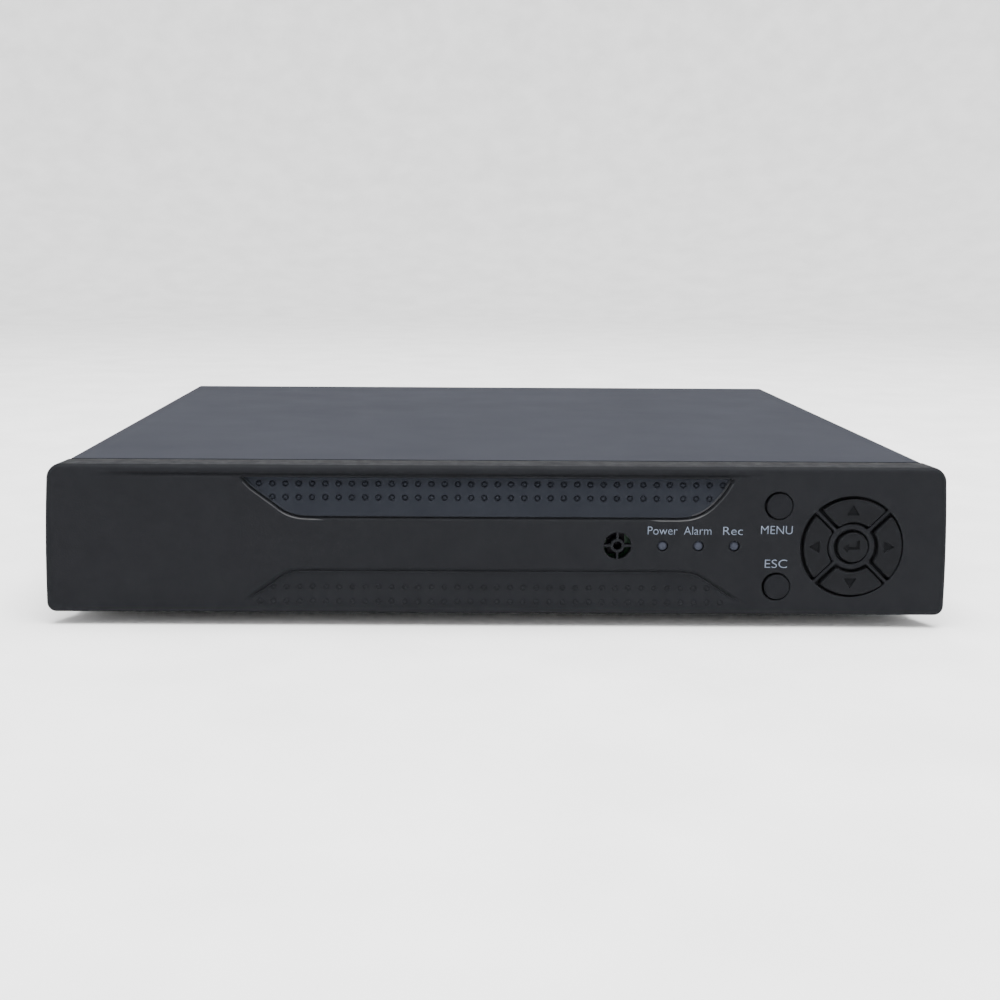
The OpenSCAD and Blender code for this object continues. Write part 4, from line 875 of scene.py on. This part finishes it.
def turned(name, at, profile, material, steps=40):
    """A solid of revolution about a line along y; the profile is (radius, y) from tip to back."""
    verts, faces = [], []
    for radius, y in profile:
        verts += [to_row(x, y, z) for x, z in circle(*at, max(radius, 0.001), steps)]
    for ring in range(len(profile) - 1):
        a, b = ring * steps, (ring + 1) * steps
        faces += [(a + i, b + i, b + (i + 1) % steps, a + (i + 1) % steps) for i in range(steps)]
    faces += [tuple(range(steps)), tuple(range(len(verts) - 1, len(verts) - steps - 1, -1))]
    return new_object(name, verts, faces, material)


def make_lights():
    """Three lamps with low domes, each with its flange and two leads."""
    lens = MATERIALS["light_lens"]
    parts = []
    for i, at in enumerate(LIGHTS):
        dome = [(LIGHT_R * math.sin(t), LIGHT_SINK + LIGHT_DOME * (1 - math.cos(t)))
                for t in np.radians(np.arange(0, 91, 9))]
        profile = dome + [(LIGHT_R, 4.4), (LIGHT_R + 0.4, 4.45), (LIGHT_R + 0.4, 5.4), (0.001, 5.45)]
        parts.append(turned(f"lamp_{i}", at, profile, lens))
        for side in (-0.8, 0.8):
            parts.append(prisms("lead", [circle(at[0] + side, at[1], 0.25, 16)], 5.3, 7.55, lens))
    lights = join(parts, "lamps")
    settle(lights)
    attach(lights, "case")
    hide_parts("indicator_lights")


# ------------------------------------------------------------------ printed legends

FONT_CAPITAL = 0.729
STROKE_THINNING = -0.012
INK_SINK = 0.02
LEGENDS = (
    ("Power", 45.0, 24.6, 2.65, 8.9), ("Alarm", 55.8, 24.6, 2.65, 8.2), ("Rec", 67.5, 24.6, 2.65, 5.9),
    ("MENU", 78.8, 24.9, 2.7, 9.4), ("ESC", 80.3, 14.6, 2.7, 6.7))


def legend(words, left, low, cap_height, width, name):
    """Generic lettering printed on the bezel: left and low are its lower corner, in case millimetres."""
    letters = bpy.data.curves.new(name, "FONT")
    letters.body = words
    letters.size = 1.0
    letters.offset = STROKE_THINNING
    text = bpy.data.objects.new(name, letters)
    bpy.context.scene.collection.objects.link(text)
    bpy.context.view_layer.update()
    graph = bpy.context.evaluated_depsgraph_get()
    mesh = bpy.data.meshes.new_from_object(text.evaluated_get(graph))
    bpy.data.objects.remove(text)
    co = np.array([v.co[:2] for v in mesh.vertices])
    low_corner, high_corner = co.min(0), co.max(0)
    scale_z = cap_height / FONT_CAPITAL
    scale_x = width / (high_corner[0] - low_corner[0])
    for v in mesh.vertices:
        x = left + (v.co.x - low_corner[0]) * scale_x
        z = low + v.co.y * scale_z
        v.co = Vector((x * MM, FACE_Y, BEZEL_LOW.z + z * MM))
    bm = bmesh.new()
    bm.from_mesh(mesh)
    made = bmesh.ops.extrude_face_region(bm, geom=bm.faces[:])
    pushed = [g for g in made["geom"] if isinstance(g, bmesh.types.BMVert)]
    bmesh.ops.translate(bm, vec=(0, (FACE_SINK + INK_SINK) * MM, 0), verts=pushed)
    bmesh.ops.recalc_face_normals(bm, faces=bm.faces)
    bm.to_mesh(mesh)
    bm.free()
    mesh.materials.clear()
    mesh.materials.append(LEGEND)
    obj = bpy.data.objects.new(name, mesh)
    bpy.context.scene.collection.objects.link(obj)
    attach(obj, "case")


def make_legends():
    for words, left, low, cap_height, width in LEGENDS:
        legend(words, left, low, cap_height, width, "legend_" + words.lower())


# ------------------------------------------------------------------ studio

LENS = 47.55
CAMERA_AT = (-14.4, -385.2, 109.2)
TURN_RIGHT = math.radians(0.27)
TILT_DOWN = math.radians(8.33)
ROLL = math.radians(0.33)
SHIFT = (0.045, -0.06)
FLOOR_R = 1.5
BEND_R = 0.9
WALL_H = 2.6


def make_camera():
    """Looks slightly down on the front, as a catalogue picture does."""
    ahead = Vector((math.sin(TURN_RIGHT) * math.cos(TILT_DOWN),
                    math.cos(TURN_RIGHT) * math.cos(TILT_DOWN), -math.sin(TILT_DOWN)))
    level = Vector((math.cos(TURN_RIGHT), -math.sin(TURN_RIGHT), 0))
    upright = level.cross(ahead)
    right = level * math.cos(ROLL) + upright * math.sin(ROLL)
    up = upright * math.cos(ROLL) - level * math.sin(ROLL)
    data = bpy.data.cameras.new("camera")
    data.lens = LENS
    data.sensor_width = 36
    data.shift_x, data.shift_y = SHIFT
    data.clip_start = 0.01
    camera = bpy.data.objects.new("camera", data)
    turn = Matrix((right, up, -ahead)).transposed().to_4x4()
    camera.matrix_world = Matrix.Translation(to_row(*CAMERA_AT)) @ turn
    bpy.context.scene.collection.objects.link(camera)
    bpy.context.scene.camera = camera


def area_light(name, at, target, size, power):
    data = bpy.data.lights.new(name, "AREA")
    data.shape = "RECTANGLE"
    data.size, data.size_y = size
    data.energy = power
    light = bpy.data.objects.new(name, data)
    light.location = at
    light.rotation_euler = (Vector(target) - Vector(at)).to_track_quat("-Z", "Y").to_euler()
    bpy.context.scene.collection.objects.link(light)


def make_backdrop():
    """One pale sheet: a round floor with a broad bend up to a wall on every side."""
    profile = [(FLOOR_R * k / 6, 0.0) for k in range(1, 7)]
    profile += [(FLOOR_R + BEND_R * math.sin(t), BEND_R * (1 - math.cos(t)))
                for t in np.radians(range(6, 91, 6))]
    profile += [(FLOOR_R + BEND_R, WALL_H)]
    steps = 96
    verts = [(0.0, 0.0, 0.0)]
    for radius, z in profile:
        verts += [(x, y, z) for x, y in circle(0, 0, radius, steps)]
    faces = [(0, 1 + i, 1 + (i + 1) % steps) for i in range(steps)]
    for ring in range(len(profile) - 1):
        a, b = 1 + ring * steps, 1 + (ring + 1) * steps
        faces += [(a + i, b + i, b + (i + 1) % steps, a + (i + 1) % steps) for i in range(steps)]
    sheet = new_object("backdrop", verts, faces, painted("backdrop_paper", (0.88, 0.88, 0.88), 0.9))


def make_studio():
    make_backdrop()
    world = bpy.data.worlds.new("studio")
    world.use_nodes = True
    world.node_tree.nodes["Background"].inputs["Color"].default_value = (1, 1, 1, 1)
    world.node_tree.nodes["Background"].inputs["Strength"].default_value = 0.8
    bpy.context.scene.world = world
    area_light("overhead", (0.1, -0.3, 1.6), (0, -0.05, 0), (1.7, 1.2), 100)


dress_cad_nodes()
make_bezel()
make_keys()
make_lights()
make_legends()
make_studio()
make_camera()
